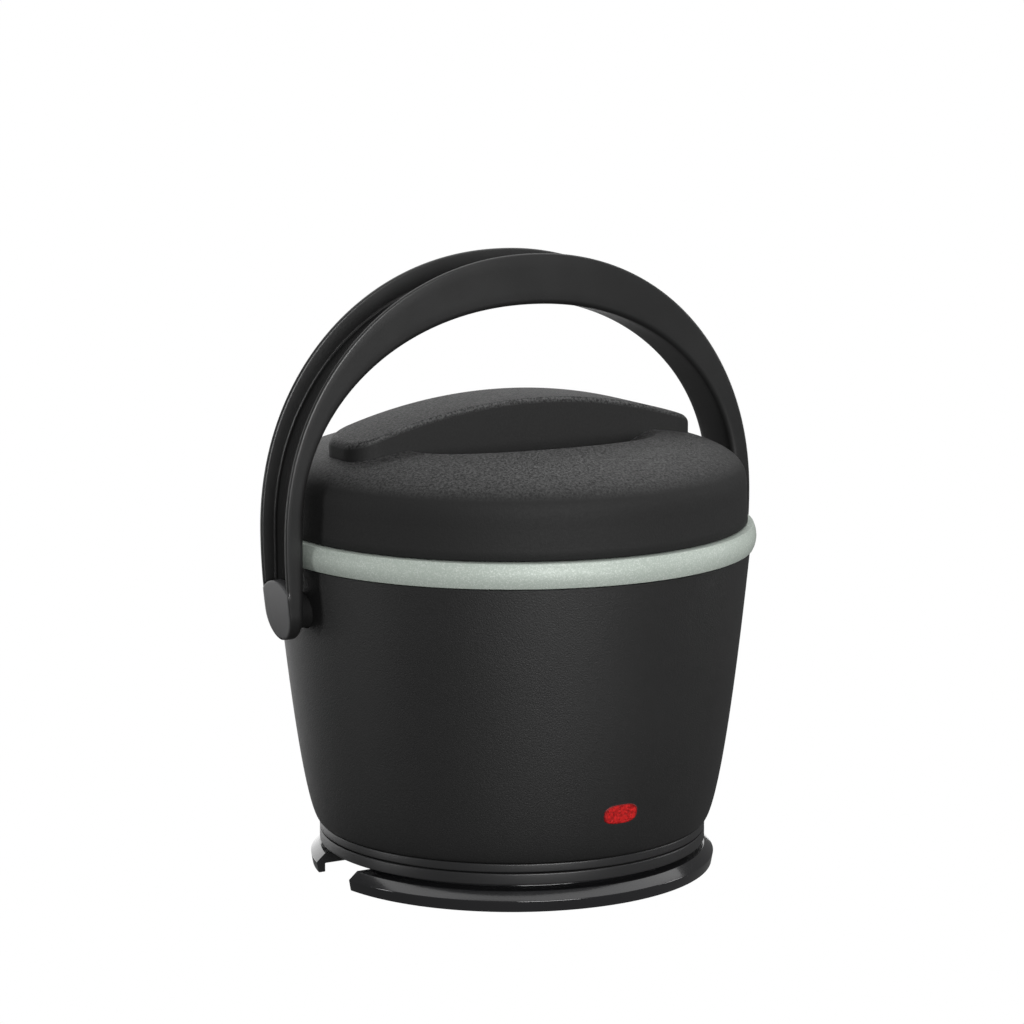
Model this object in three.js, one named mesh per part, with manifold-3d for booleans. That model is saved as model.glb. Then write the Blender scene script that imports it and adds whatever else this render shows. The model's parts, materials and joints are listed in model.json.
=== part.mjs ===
// A personal slow cooker: a tapered cup with a heated well, a lift-out food container with
// its own lid, a domed outer lid, a carry handle on two side pivots, and a slotted power base
// that the cooker lifts off. Millimetres, +Z up, origin on the table under the middle of the
// base. +X runs along the handle's pivot line, and the pilot light faces -Y.
import * as THREE from 'three';
import { mergeVertices } from 'three/addons/utils/BufferGeometryUtils.js';
import Module from 'manifold-3d';

const wasm = await Module();
wasm.setup();

// ---- driving dimensions ----

const GAP = 0.3;                // between pieces that touch
const ROUND = 48;               // sides of the large round pieces that show
const INNER_ROUND = 36;         // sides of the large round pieces inside
const SMALL_ROUND = 20;         // sides of pins, bosses and feet
const ARC_STEPS = 3;            // half the steps in a drawn arc

// the overall size
const COLLAR_R = 68.7;          // both collar rings, at the cup's foot
const CUP_R = 84;               // the shell's mouth
const SHELL_H = 97.1;
const ARCH_H = 119.1;           // pivots to the top of the handle

// power base
const FOOT_PROUD = 0.5;         // rubber feet below the skirt's edge
const BASE_OUT = 3.3;           // how far the base stands out past the collars
const BASE_LEAN = 0.7;          // how far the skirt leans in at its bottom edge
const BASE_CHAMFER = 3.2;       // chamfer's width
const BASE_WALL_H = 3.9;        // skirt's upright wall
const BASE_FLANGE_H = 6.7;      // skirt's bottom edge to the top of the flange
const PLATEAU_IN = 5.9;         // how far the raised middle stops short of the collars
const PLATEAU_H = 1.7;          // raised middle above the flange
const SKIRT_WALL = 3.2;
const BASE_WEB = 3.6;           // flange thickness
const SLOT_W = 26.5;            // cord slot, cut right through the base
const SLOT_OFF = 2.8;           // slot's middle, off the pivot line
const SLOT_END_X = -33;         // slot's inner end
const HOUSING_R = 28;           // terminal housing, inside
const HOUSING_WALL = 2.5;
const HOUSING_Z = 1.2;          // housing's lower edge
const HOUSING_ROOF = 1.8;
const BASE_PLATE_T = 2;         // plate that closes the housing
const FOOT_R = 5;
const FOOT_RING_R = 59;         // circle that the feet stand on
const FOOT_COUNT = 4;
const GLAND_L = 7;              // flat cord gland
const GLAND_W = 8;
const GLAND_H = 3.3;
const CORD_HOLE_W = 5.4;
const CORD_HOLE_H = 2.2;

// screws
const SCREW_R = 1.5;
const SCREW_HEAD_R = 2.8;
const SCREW_HEAD_T = 1;
const SCREW_COUNT = 3;
const BASE_SCREW_RING_R = 22.8;
const BASE_POST_R = 3.4;
const BASE_SCREW_TOP_IN = 1.3;  // screw tips below the plateau's top
const COVER_SCREW_RING_R = 54;
const COVER_POST_R = 5;
const COVER_POST_H = 10;        // posts inside the shell
const COVER_SUNK = 3;           // heads sunk into the bottom cover

// contacts between base and cooker
const CARRIER_R = 20.5;         // contact carrier above the plateau
const CARRIER_H = 6.8;
const NECK_R = 17;              // hole that the carrier sits in
const CONTACT_R = 1.5;
const CONTACT_RING_R = 6.5;
const CONTACT_COUNT = 3;
const CONTACT_PROUD = 5.5;      // pins above the carrier
const CONTACT_PLAY = 0.6;       // round each pin in the socket
const RECESS_PLAY = 2.5;        // round the carrier in the cooker's underside
const RECESS_H = 9.8;
const SOCKET_R = 11.9;
const SOCKET_FLANGE_R = 17;
const SOCKET_FLANGE_T = 3;

// cover, collar ring and shell
const COVER_T = 2.2;
const COVER_RIM_H = 4;          // lower collar, the bottom cover's rim
const COVER_RIM_W = 2.7;
const COLLAR_H = 3;             // upper collar ring
const COLLAR_W = 4.2;
const GROOVE = 0.4;             // shadow groove between the rings
const FOOT_LIP = 0.2;           // shell past the collar ring
const SHELL_CURVE = 0.61;       // 1 is a straight cone, less is rounder at the foot
const SHELL_WALL = 2.4;
const SHELL_FLOOR_R = 46;       // hole in the shell's floor

// trim band round the shell's mouth
const BAND_H = 8.8;
const BAND_LIP = 0.9;           // band past the shell's mouth
const BAND_BULGE = 1.2;
const BAND_SPIGOT_H = 6;        // sleeve inside the shell
const BAND_SPIGOT_T = 2;
const BORE_WALL = 1;            // how far the bore is inside the sleeve's face
const LEDGE_DROP = 4.2;         // band's top down to the ledge for the well
const LEDGE_W = 7.2;
const LEDGE_T = 2;

// heating well and food container
const WELL_PLAY = 3;            // between ledge and well
const WELL_JACKET = 11.7;       // between the shell's inside and the well's foot
const WELL_DEPTH = 54.5;        // ledge to the underside of its floor
const WELL_WALL = 1.2;
const WELL_CORNER = 6;
const POT_PLAY = 1;             // between well and container
const POT_WALL = 1.6;
const POT_RIM_T = 1.4;

// heater
const PLATE_R = 50;
const PLATE_T = 4;
const ELEMENT_R = 3.2;
const ELEMENT_RING_R = 36;
const ELEMENT_OPEN_DEG = 24;    // gap between its ends
const ELEMENT_LEG = 14;         // how far its ends turn down
const THERMOSTAT_R = 8;
const THERMOSTAT_H = 6.4;
const FUSE_R = 2.5;
const FUSE_L = 18;
const FUSE_Y = 16;
const STRAP_L = 88;             // strap that clamps the thermostat and the element
const STRAP_W = 12;
const STRAP_T = 1.2;
const STRAP_SCREW_X = 22;
const LEAD_R = 1.2;
const SLEEVE_T = 5;             // insulation blanket
const SLEEVE_LIFT = 2;          // above the well's floor

// pilot light
const LIGHT_H = 16;             // above the shell's bottom edge
const LENS_W = 12.8;
const LENS_H = 6.9;
const LENS_CORNER = 3;
const LENS_PROUD = 0.25;
const LENS_FLANGE = 1.6;
const LENS_GAP = 0.3;            // between the flange and the shell's inside
const LAMP_R = 2.8;
const LAMP_L = 8;
const HOLDER_W = 14;
const HOLDER_L = 10;
const HOLDER_FOOT_L = 6;
const HOLDER_WALL = 1.5;

// handle
const PIVOT_DROP = 14.9;        // shell's mouth down to the pivots
const PIN_R = 2.6;
const PIN_HEAD_R = 5;
const PIN_HEAD_T = 0.9;
const INSERT_R = 4.2;           // brass insert that each pin screws into
const BOSS_R = 8.6;
const BOSS_DEPTH = 8;           // boss inside the shell's wall
const BOSS_PLAY = 0.4;          // between boss and arm
const ARM_PLAY = 0.8;           // between arm and band
const ARM_T = 7.1;              // arm, at its widest
const ARM_WIDE_H = 25.8;        // pivots to the widest point of the outer face
const ARM_TAPER_H = 142;        // semi-height of the arm's curve below it
const SPRING_H = 30.8;          // pivots to where the inner face starts to curve
const ARCH_T = 17.8;            // depth of the arch at its top
const ARCH_POWER = 2.09;        // 2 is an ellipse, more is squarer
const BAIL_TOP_W = 23.8;        // along Y, at the top of the arch
const BAIL_END_W = 19.4;        // along Y, at the pivots
const CHANNEL_ARM = 5.4;        // channel's depth on the arms
const CHANNEL_TOP = 7.5;        // and over the top
const FLANGE_T = 1.9;
const CAP_RISE = 11.2;          // pivot cap's top above the pivot
const CAP_ARC_R = 14.2;
const CAP_BED = 3;              // arm's thickness under the cap

// outer lid
const LID_STEP = 1.9;           // lid's edge inside the band's
const LID_WALL_H = 10.5;
const LID_LEAN = 0.4;           // how much the lid's wall leans in
const DOME_H = 22;
const DOME_SPREAD = 2.2;        // power of the dome's outline across
const DOME_FLAT = 3.7;          // and up
const LID_T = 2.4;
const GRIP_INSET = 14;          // grip's ends inside the lid's edge
const GRIP_W = 28;
const GRIP_CORNER = 10;
const GRIP_PROUD = 12.3;        // above the dome
const GRIP_DROP = 12.5;         // how much lower its ends are
const SCOOP_L = 51;             // semi-axes of each finger scoop
const SCOOP_W = 30.5;
const SCOOP_D = 24;
const SCOOP_RISE = 9;           // its middle above the dome's top
const SCOOP_OFF = 12.5;         // its middle off the pivot line
const PLUG_PLAY = 1.4;          // between bore and plug, seal included
const PLUG_WALL = 1.6;
const PLUG_DEEP = 2;            // plug below the lid's edge
const LINER_T = 1.6;
const SEAL_T = 0.8;
const SEAL_H = 2.2;

// container's lid
const POT_LID_T = 1.6;
const POT_LID_RISE = 3.2;
const POT_LID_SKIRT = 4;
const POT_SEAL_T = 0.9;
const POT_LID_PLAY = 0.6;       // between it and the outer lid's plug
const VENT_R = 1.5;
const VENT_X = 30;
const KNOB_R = 11;
const KNOB_H = 4;

// ---- places that follow from them ----

const BASE_Z = FOOT_PROUD;
const FLANGE_Z = BASE_Z + BASE_FLANGE_H;
const WEB_Z = FLANGE_Z - BASE_WEB;
const PLATEAU_Z = FLANGE_Z + PLATEAU_H;
const ROOF_Z = PLATEAU_Z - HOUSING_ROOF;
const BASE_R = COLLAR_R + BASE_OUT;
const CARRIER_Z = PLATEAU_Z + GAP + CARRIER_H;
const RECESS_R = CARRIER_R + RECESS_PLAY;

const COVER_Z = PLATEAU_Z + GAP;
const COVER_RIM_Z = COVER_Z + COVER_RIM_H;
const RECESS_Z = COVER_Z + RECESS_H;
const COLLAR_Z = COVER_RIM_Z + GROOVE;
const SHELL_Z = COLLAR_Z + COLLAR_H + GROOVE;
const MOUTH_Z = SHELL_Z + SHELL_H;
const LIGHT_Z = SHELL_Z + LIGHT_H;

const BAND_Z = MOUTH_Z + GAP;
const BAND_TOP_Z = BAND_Z + BAND_H;
const BAND_EDGE_R = CUP_R + BAND_LIP;
const BAND_WIDE_R = BAND_EDGE_R + BAND_BULGE;
const SPIGOT_Z = BAND_Z - BAND_SPIGOT_H;
const SPIGOT_R = shellRadius(SPIGOT_Z) - SHELL_WALL - GAP;
const BORE_R = SPIGOT_R - BORE_WALL;
const LEDGE_Z = BAND_TOP_Z - LEDGE_DROP;
const LEDGE_R = BORE_R - LEDGE_W;

const WELL_R = LEDGE_R - WELL_PLAY;
const WELL_RIM_Z = LEDGE_Z + GAP;
const WELL_Z = LEDGE_Z - WELL_DEPTH;
const WELL_FOOT_R = shellRadius(WELL_Z) - SHELL_WALL - WELL_JACKET;
const WELL_TAPER = WELL_R - WELL_FOOT_R;
const POT_R = WELL_R - WELL_WALL - POT_PLAY;
const POT_Z = WELL_Z + WELL_WALL + POT_PLAY;
const POT_RIM_Z = WELL_RIM_Z + WELL_WALL + GAP;
const PLUG_R = BORE_R - PLUG_PLAY;
const POT_LID_R = PLUG_R - PLUG_WALL - POT_LID_PLAY;
const POT_LID_Z = POT_RIM_Z + POT_RIM_T + GAP;

const PLATE_Z = WELL_Z - GAP - PLATE_T;
const ELEMENT_Z = PLATE_Z - GAP - ELEMENT_R;
const STRAP_Z = PLATE_Z - 2 * GAP - THERMOSTAT_H;
const SOCKET_TOP_Z = RECESS_Z + COVER_T + GAP + SOCKET_FLANGE_T;

const PIVOT_Z = MOUTH_Z - PIVOT_DROP;
const ARM_IN_X = BAND_WIDE_R + ARM_PLAY;
const ARM_OUT_X = ARM_IN_X + ARM_T;
const BOSS_X = ARM_IN_X - BOSS_PLAY;
const BOSS_IN_X = CUP_R - SHELL_WALL - BOSS_DEPTH;
const BED_X = ARM_IN_X + CAP_BED;
const WIDE_Z = PIVOT_Z + ARM_WIDE_H;
const SPRING_Z = PIVOT_Z + SPRING_H;
const ARCH_Z = PIVOT_Z + ARCH_H;
const CAP_Z = PIVOT_Z + CAP_RISE - CAP_ARC_R;

const LID_Z = BAND_TOP_Z + GAP;
const LID_R = BAND_EDGE_R - LID_STEP;
const DOME_Z = LID_Z + LID_WALL_H;
const DOME_TOP_Z = DOME_Z + DOME_H;
const LINER_Z = DOME_Z - LINER_T;

// ---- materials ----

function plastic(color, roughness) {
  return new THREE.MeshStandardMaterial({ color, roughness, metalness: 0 });
}

function metal(color, roughness) {
  return new THREE.MeshStandardMaterial({ color, roughness, metalness: 1 });
}

const softBlack = plastic(0x2b2b2c, 0.75);
const satinBlack = plastic(0x262627, 0.45);
const glossBlack = plastic(0x1a1a1b, 0.18);
const capGrey = plastic(0x4a4a4b, 0.4);
const sage = plastic(0x9aa69c, 0.5);
const lensRed = plastic(0xb01218, 0.25);
const palePlastic = plastic(0xb9b9b4, 0.6);
const silicone = plastic(0x8c8f90, 0.8);
const rubber = plastic(0x1c1c1c, 0.9);
const blanket = plastic(0xd8d2bd, 1);
const lampGlass = plastic(0xe8c9a0, 0.1);
const wireRed = plastic(0x8a2018, 0.6);
const aluminium = metal(0xb8babc, 0.4);
const steel = metal(0x9a9c9e, 0.35);
const brass = metal(0xb99a4c, 0.35);

// ---- geometry helpers ----

// The same surface with its shared corners merged and its slivers dropped.
function welded(geometry) {
  const bare = geometry.clone();
  bare.deleteAttribute('normal');
  bare.deleteAttribute('uv');
  const merged = mergeVertices(bare, 1e-4);
  const corners = merged.index.array;
  const kept = [];
  for (let i = 0; i < corners.length; i += 3) {
    const [a, b, c] = corners.subarray(i, i + 3);
    if (a !== b && b !== c && c !== a) kept.push(a, b, c);
  }
  return merged.setIndex(kept);
}

// A closed surface as a solid that can be joined and cut.
function solid(geometry) {
  const shape = welded(geometry);
  const vertProperties = new Float32Array(shape.attributes.position.array);
  const triVerts = new Uint32Array(shape.index.array);
  return new wasm.Manifold(new wasm.Mesh({ numProp: 3, vertProperties, triVerts }));
}

// A solid back as a surface.
function surface(body) {
  const { vertProperties, triVerts } = body.getMesh();
  const geometry = new THREE.BufferGeometry();
  geometry.setAttribute('position', new THREE.BufferAttribute(vertProperties, 3));
  return geometry.setIndex(new THREE.BufferAttribute(triVerts, 1));
}

// A profile of [radius, height] points turned about +Z. It runs up its outside.
function turned(profile, sides) {
  const loop = profile.map(([r, z]) => new THREE.Vector2(r, z));
  if (loop[0].x > 0) loop.push(loop[0].clone());
  return new THREE.LatheGeometry(loop, sides).rotateX(Math.PI / 2);
}

// A round bar about +Z between two heights.
function bar(radius, z0, z1, sides = SMALL_ROUND) {
  return turned([[0, z0], [radius, z0], [radius, z1], [0, z1]], sides);
}

// A round bar beside the cup, lying along X at height z, from x0 out to x1 on one side.
function sideBar(side, radius, x0, x1, z = PIVOT_Z) {
  const [from, to] = side > 0 ? [x0, x1] : [-x1, -x0];
  return bar(radius, from, to).rotateY(Math.PI / 2).translate(0, 0, z);
}

// A box between two corners.
function block([x0, y0, z0], [x1, y1, z1]) {
  const box = new THREE.BoxGeometry(x1 - x0, y1 - y0, z1 - z0);
  return box.translate((x0 + x1) / 2, (y0 + y1) / 2, (z0 + z1) / 2);
}

function outline(points) {
  return new THREE.Shape(points.map(([u, v]) => new THREE.Vector2(u, v)));
}

function prism(shape, depth) {
  const settings = { depth, bevelEnabled: false, curveSegments: ARC_STEPS };
  return new THREE.ExtrudeGeometry(shape, settings);
}

// An outline in X and Z, carried along Y from y0 to y1.
function alongY(shape, y0, y1) {
  return prism(shape, y1 - y0).rotateX(Math.PI / 2).translate(0, y1, 0);
}

// An outline in Y and Z, carried along X from x0 to x1.
function alongX(shape, x0, x1) {
  const turn = new THREE.Matrix4().makeBasis(
    new THREE.Vector3(0, 1, 0),
    new THREE.Vector3(0, 0, 1),
    new THREE.Vector3(1, 0, 0),
  );
  return prism(shape, x1 - x0).applyMatrix4(turn).translate(x0, 0, 0);
}

// A rectangle with round corners, about the middle.
function roundedRectangle(width, height, corner) {
  const [u, v] = [width / 2 - corner, height / 2 - corner];
  const shape = new THREE.Shape();
  shape.absarc(u, -v, corner, -Math.PI / 2, 0);
  shape.absarc(u, v, corner, 0, Math.PI / 2);
  shape.absarc(-u, v, corner, Math.PI / 2, Math.PI);
  shape.absarc(-u, -v, corner, Math.PI, 1.5 * Math.PI);
  return shape;
}

// A round wire along a smooth line through the points.
function wire(points, radius, steps) {
  const path = new THREE.CatmullRomCurve3(points.map((p) => new THREE.Vector3(...p)));
  const section = new THREE.Shape().absarc(0, 0, radius, 0, 2 * Math.PI);
  const settings = { steps, extrudePath: path, curveSegments: 4 };
  return new THREE.ExtrudeGeometry(section, settings);
}

// A quarter of |r / a|^p + |z / b|^q = 1, from the r axis to the z axis.
function superQuarter(a, b, p, q, steps) {
  const points = [];
  for (let i = 0; i < steps; i += 1) {
    const turn = (Math.PI / 2) * (i / steps);
    points.push([a * Math.cos(turn) ** (2 / p), b * Math.sin(turn) ** (2 / q)]);
  }
  points.push([0, b]);
  return points;
}

// The places of a ring of like things, as [x, y].
function ringPlaces(count, radius, startDeg) {
  const places = [];
  for (let i = 0; i < count; i += 1) {
    const turn = THREE.MathUtils.degToRad(startDeg + (360 * i) / count);
    places.push([radius * Math.cos(turn), radius * Math.sin(turn)]);
  }
  return places;
}

// The well's outer radius at a height.
function wellRadius(z) {
  const bendZ = WELL_Z + WELL_CORNER;
  const rise = Math.max(0, (z - bendZ) / (WELL_RIM_Z - bendZ));
  return WELL_FOOT_R + WELL_TAPER * rise;
}

// The shell's outer radius at a height.
function shellRadius(z) {
  const rise = Math.max(0, (z - SHELL_Z) / SHELL_H);
  const footR = COLLAR_R + FOOT_LIP;
  return footR + (CUP_R - footR) * rise ** SHELL_CURVE;
}

const cooker = new THREE.Group();

function add(name, geometry, material) {
  const piece = welded(geometry);
  piece.computeVertexNormals();
  const mesh = new THREE.Mesh(piece, material);
  mesh.name = name;
  cooker.add(mesh);
}

// A pan-head screw from z0 up to z1, with its head at the bottom.
function screw(z0, z1, [x, y]) {
  const shoulderZ = z0 + SCREW_HEAD_T;
  const profile = [
    [0, z0],
    [SCREW_HEAD_R, z0],
    [SCREW_HEAD_R, shoulderZ],
    [SCREW_R, shoulderZ],
    [SCREW_R, z1 - SCREW_R],
    [0, z1],
  ];
  return turned(profile, 12).translate(x, y, 0);
}

// The hole that a screw runs in, with a counterbore for its head up to sunkZ.
function screwHole(z0, z1, sunkZ, [x, y]) {
  const shank = solid(bar(SCREW_R + GAP, z0, z1, 12));
  const head = solid(bar(SCREW_HEAD_R + GAP, z0, sunkZ, 12));
  return shank.add(head).translate(x, y, 0);
}

// ---- power base ----

const BASE_SCREWS = ringPlaces(SCREW_COUNT, BASE_SCREW_RING_R, 30);
const CONTACTS = ringPlaces(CONTACT_COUNT, CONTACT_RING_R, 90);
const GLAND_Z = (HOUSING_Z + BASE_PLATE_T + ROOF_Z) / 2;
const BASE_PLATE_Z = HOUSING_Z + BASE_PLATE_T;
const BASE_SCREW_Z = PLATEAU_Z - BASE_SCREW_TOP_IN;

// Skirt, flange and plateau in one moulding, with the terminal housing under its middle.
function baseRing() {
  const housingOut = HOUSING_R + HOUSING_WALL;
  const disc = solid(turned([
    [BASE_R - SKIRT_WALL, BASE_Z],
    [BASE_R - BASE_LEAN, BASE_Z],
    [BASE_R, BASE_Z + BASE_WALL_H],
    [BASE_R - BASE_CHAMFER, FLANGE_Z],
    [COLLAR_R - PLATEAU_IN, FLANGE_Z],
    [COLLAR_R - PLATEAU_IN, PLATEAU_Z],
    [NECK_R, PLATEAU_Z],
    [NECK_R, ROOF_Z],
    [HOUSING_R, ROOF_Z],
    [HOUSING_R, HOUSING_Z],
    [housingOut, HOUSING_Z],
    [housingOut, WEB_Z],
    [BASE_R - SKIRT_WALL, WEB_Z],
  ], ROUND));
  const halfSlot = SLOT_W / 2;
  const glandWall = solid(block(
    [SLOT_END_X, SLOT_OFF - GLAND_W, HOUSING_Z],
    [1 - HOUSING_R, SLOT_OFF + GLAND_W, PLATEAU_Z],
  ));
  const inside = solid(bar(HOUSING_R, 0, ROOF_Z, ROUND));
  const slot = solid(block(
    [-2 * BASE_R, SLOT_OFF - halfSlot, -1],
    [SLOT_END_X, SLOT_OFF + halfSlot, 2 * PLATEAU_Z],
  ));
  let ring = disc.add(glandWall.subtract(inside)).subtract(slot);
  for (const [x, y] of BASE_SCREWS) {
    const post = bar(BASE_POST_R, BASE_PLATE_Z + GAP, PLATEAU_Z - 1, 16);
    ring = ring.add(solid(post).translate(x, y, 0));
    ring = ring.subtract(screwHole(0, BASE_SCREW_Z + GAP, 0.5, [x, y]));
  }
  const glandHole = roundedRectangle(GLAND_W + 2 * GAP, GLAND_H + 2 * GAP, 1);
  const way = alongX(glandHole, SLOT_END_X - 1, 1 - HOUSING_R).translate(0, SLOT_OFF, GLAND_Z);
  return surface(ring.subtract(solid(way)));
}

function basePlate() {
  let plate = solid(bar(HOUSING_R - GAP, HOUSING_Z, BASE_PLATE_Z, INNER_ROUND));
  const sunkZ = HOUSING_Z + SCREW_HEAD_T + GAP;
  for (const place of BASE_SCREWS) {
    plate = plate.subtract(screwHole(0, 2 * PLATEAU_Z, sunkZ, place));
  }
  return surface(plate);
}

function baseFoot([x, y]) {
  const edge = FOOT_PROUD;
  const topZ = WEB_Z - GAP;
  const profile = [[0, 0], [FOOT_R - edge, 0], [FOOT_R, edge], [FOOT_R, topZ], [0, topZ]];
  return turned(profile, SMALL_ROUND).translate(x, y, 0);
}

// Carrier that stands up through the plateau and holds the contact pins.
function contactCarrier() {
  let carrier = solid(turned([
    [0, ROOF_Z - 1],
    [NECK_R - GAP, ROOF_Z - 1],
    [NECK_R - GAP, PLATEAU_Z + GAP],
    [CARRIER_R, PLATEAU_Z + GAP],
    [CARRIER_R, CARRIER_Z - 1],
    [CARRIER_R - 1, CARRIER_Z],
    [0, CARRIER_Z],
  ], INNER_ROUND));
  for (const [x, y] of CONTACTS) {
    const hole = bar(CONTACT_R + GAP, 0, 2 * CARRIER_Z, 12);
    carrier = carrier.subtract(solid(hole).translate(x, y, 0));
  }
  return surface(carrier);
}

function contactPin([x, y]) {
  const topZ = CARRIER_Z + CONTACT_PROUD;
  const footZ = BASE_PLATE_Z + 2 * GAP;
  const profile = [
    [0, footZ],
    [CONTACT_R, footZ],
    [CONTACT_R, topZ - CONTACT_R],
    [CONTACT_R / 2, topZ],
    [0, topZ],
  ];
  return turned(profile, 12).translate(x, y, 0);
}

// Flat gland in the slot's inner end, with the cord's hole through it.
function cordGland() {
  const outer = alongX(roundedRectangle(GLAND_W, GLAND_H, 1), 0, GLAND_L);
  const hole = alongX(roundedRectangle(CORD_HOLE_W, CORD_HOLE_H, 1), -1, GLAND_L + 1);
  const gland = solid(outer).subtract(solid(hole));
  return surface(gland.translate(SLOT_END_X - 1, SLOT_OFF, GLAND_Z));
}

add('base_ring', baseRing(), glossBlack);
add('base_plate', basePlate(), satinBlack);
BASE_SCREWS.forEach((place, i) => {
  add(`base_screw_${i + 1}`, screw(HOUSING_Z, BASE_SCREW_Z, place), steel);
});
ringPlaces(FOOT_COUNT, FOOT_RING_R, 45).forEach((place, i) => {
  add(`base_foot_${i + 1}`, baseFoot(place), rubber);
});
add('contact_carrier', contactCarrier(), satinBlack);
CONTACTS.forEach((place, i) => add(`contact_pin_${i + 1}`, contactPin(place), brass));
add('cord_gland', cordGland(), rubber);

// ---- cup: cover, collar ring and shell ----

const COVER_SCREWS = ringPlaces(SCREW_COUNT, COVER_SCREW_RING_R, 0);
const COVER_SCREW_TOP_Z = SHELL_Z + COVER_POST_H - 2;

// Bottom cover with its rim as the lower collar, a recess for the carrier, and screw posts.
function bottomCover() {
  const edge = 0.5;
  let cover = solid(turned([
    [RECESS_R, COVER_Z],
    [COLLAR_R - edge, COVER_Z],
    [COLLAR_R, COVER_Z + edge],
    [COLLAR_R, COVER_RIM_Z],
    [COLLAR_R - COVER_RIM_W, COVER_RIM_Z],
    [COLLAR_R - COVER_RIM_W, COVER_Z + COVER_T],
    [RECESS_R + COVER_T, COVER_Z + COVER_T],
    [RECESS_R + COVER_T, RECESS_Z + COVER_T],
    [SOCKET_R + GAP, RECESS_Z + COVER_T],
    [SOCKET_R + GAP, RECESS_Z],
    [RECESS_R, RECESS_Z],
  ], ROUND));
  for (const [x, y] of COVER_SCREWS) {
    const post = bar(COVER_POST_R, COVER_Z, SHELL_Z - GAP, 16);
    const hole = screwHole(0, SHELL_Z, COVER_Z + COVER_SUNK, [x, y]);
    cover = cover.add(solid(post).translate(x, y, 0)).subtract(hole);
  }
  return surface(cover);
}

function collarRing() {
  return turned([
    [COLLAR_R - COLLAR_W, COLLAR_Z],
    [COLLAR_R, COLLAR_Z],
    [COLLAR_R, COLLAR_Z + COLLAR_H],
    [COLLAR_R - COLLAR_W, COLLAR_Z + COLLAR_H],
  ], ROUND);
}

// Tapered shell with a ring floor, screw posts, pivot bosses and the pilot light's window.
function outerShell() {
  const wall = [];
  const steps = 7;
  for (let i = 0; i <= steps; i += 1) {
    const z = SHELL_Z + SHELL_H * (i / steps) ** 1.8;
    wall.push([shellRadius(z), z]);
  }
  const lining = wall
    .filter(([, z]) => z > SHELL_Z + SHELL_WALL)
    .map(([r, z]) => [r - SHELL_WALL, z])
    .reverse();
  const floorZ = SHELL_Z + SHELL_WALL;
  const foot = [shellRadius(floorZ) - SHELL_WALL, floorZ];
  const profile = [[SHELL_FLOOR_R, SHELL_Z], ...wall, ...lining, foot, [SHELL_FLOOR_R, floorZ]];
  let shell = solid(turned(profile, ROUND));
  for (const [x, y] of COVER_SCREWS) {
    const post = bar(COVER_POST_R, SHELL_Z, SHELL_Z + COVER_POST_H, 16);
    const hole = bar(SCREW_R + GAP, 0, COVER_SCREW_TOP_Z + GAP, 12);
    shell = shell.add(solid(post).translate(x, y, 0)).subtract(solid(hole).translate(x, y, 0));
  }
  for (const side of [-1, 1]) {
    shell = shell
      .add(solid(sideBar(side, BOSS_R, BOSS_IN_X, BOSS_X)))
      .subtract(solid(sideBar(side, INSERT_R + GAP, 0, CUP_R)))
      .subtract(solid(sideBar(side, PIN_R + GAP, 0, 2 * CUP_R)));
  }
  const window = roundedRectangle(LENS_W + 2 * GAP, LENS_H + 2 * GAP, LENS_CORNER);
  const way = alongY(window, -CUP_R, -SHELL_FLOOR_R).translate(0, 0, LIGHT_Z);
  return surface(shell.subtract(solid(way)));
}

// Convex band that caps the shell's mouth, with a sleeve inside the shell and a ledge.
function trimBand() {
  const widest = 0.5;
  const bulge = [];
  const steps = 4;
  for (let i = 0; i <= steps; i += 1) {
    const rise = i / steps;
    const out = 1 - ((rise - widest) / widest) ** 2;
    bulge.push([BAND_EDGE_R + BAND_BULGE * out, BAND_Z + BAND_H * rise]);
  }
  return turned([
    [SPIGOT_R - BAND_SPIGOT_T, SPIGOT_Z],
    [SPIGOT_R, SPIGOT_Z],
    [SPIGOT_R, BAND_Z],
    ...bulge,
    [BORE_R, BAND_TOP_Z],
    [BORE_R, LEDGE_Z],
    [LEDGE_R, LEDGE_Z],
    [LEDGE_R, LEDGE_Z - LEDGE_T],
    [SPIGOT_R - BAND_SPIGOT_T, LEDGE_Z - LEDGE_T],
  ], ROUND);
}

// Blanket wrapped round the lower part of the well, below the pivot bosses.
function insulationSleeve() {
  const bendZ = WELL_Z + WELL_CORNER;
  const topZ = PIVOT_Z - BOSS_R - SLEEVE_LIFT;
  const inside = [topZ, bendZ, WELL_Z + SLEEVE_LIFT].map((z) => [wellRadius(z) + GAP, z]);
  const outside = inside.map(([r, z]) => [r + SLEEVE_T, z]).reverse();
  return turned([...outside, ...inside], INNER_ROUND);
}

add('bottom_cover', bottomCover(), satinBlack);
COVER_SCREWS.forEach((place, i) => {
  const headZ = COVER_Z + COVER_SUNK - GAP - SCREW_HEAD_T;
  add(`cover_screw_${i + 1}`, screw(headZ, COVER_SCREW_TOP_Z, place), steel);
});
add('collar_ring', collarRing(), satinBlack);
add('outer_shell', outerShell(), softBlack);
add('trim_band', trimBand(), sage);
add('insulation_sleeve', insulationSleeve(), blanket);

// ---- heating well and heater ----

// An open vessel that hangs by its rim, with a rounded foot.
function vessel({ z, topR, wall, rimZ, rimR, rimT }) {
  const footR = topR - WELL_TAPER;
  const corner = [footR - WELL_CORNER, z + WELL_CORNER];
  const arc = [0, 1, 2, 3, 4].map((i) => (Math.PI / 2) * (i / 4));
  const bend = (radius) => arc.map((turn) => [
    corner[0] + radius * Math.sin(turn),
    corner[1] - radius * Math.cos(turn),
  ]);
  return turned([
    [0, z],
    ...bend(WELL_CORNER),
    [topR, rimZ],
    [rimR, rimZ],
    [rimR, rimZ + rimT],
    [topR - wall, rimZ + rimT],
    ...bend(WELL_CORNER - wall).reverse(),
    [0, z + wall],
  ], INNER_ROUND);
}

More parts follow.
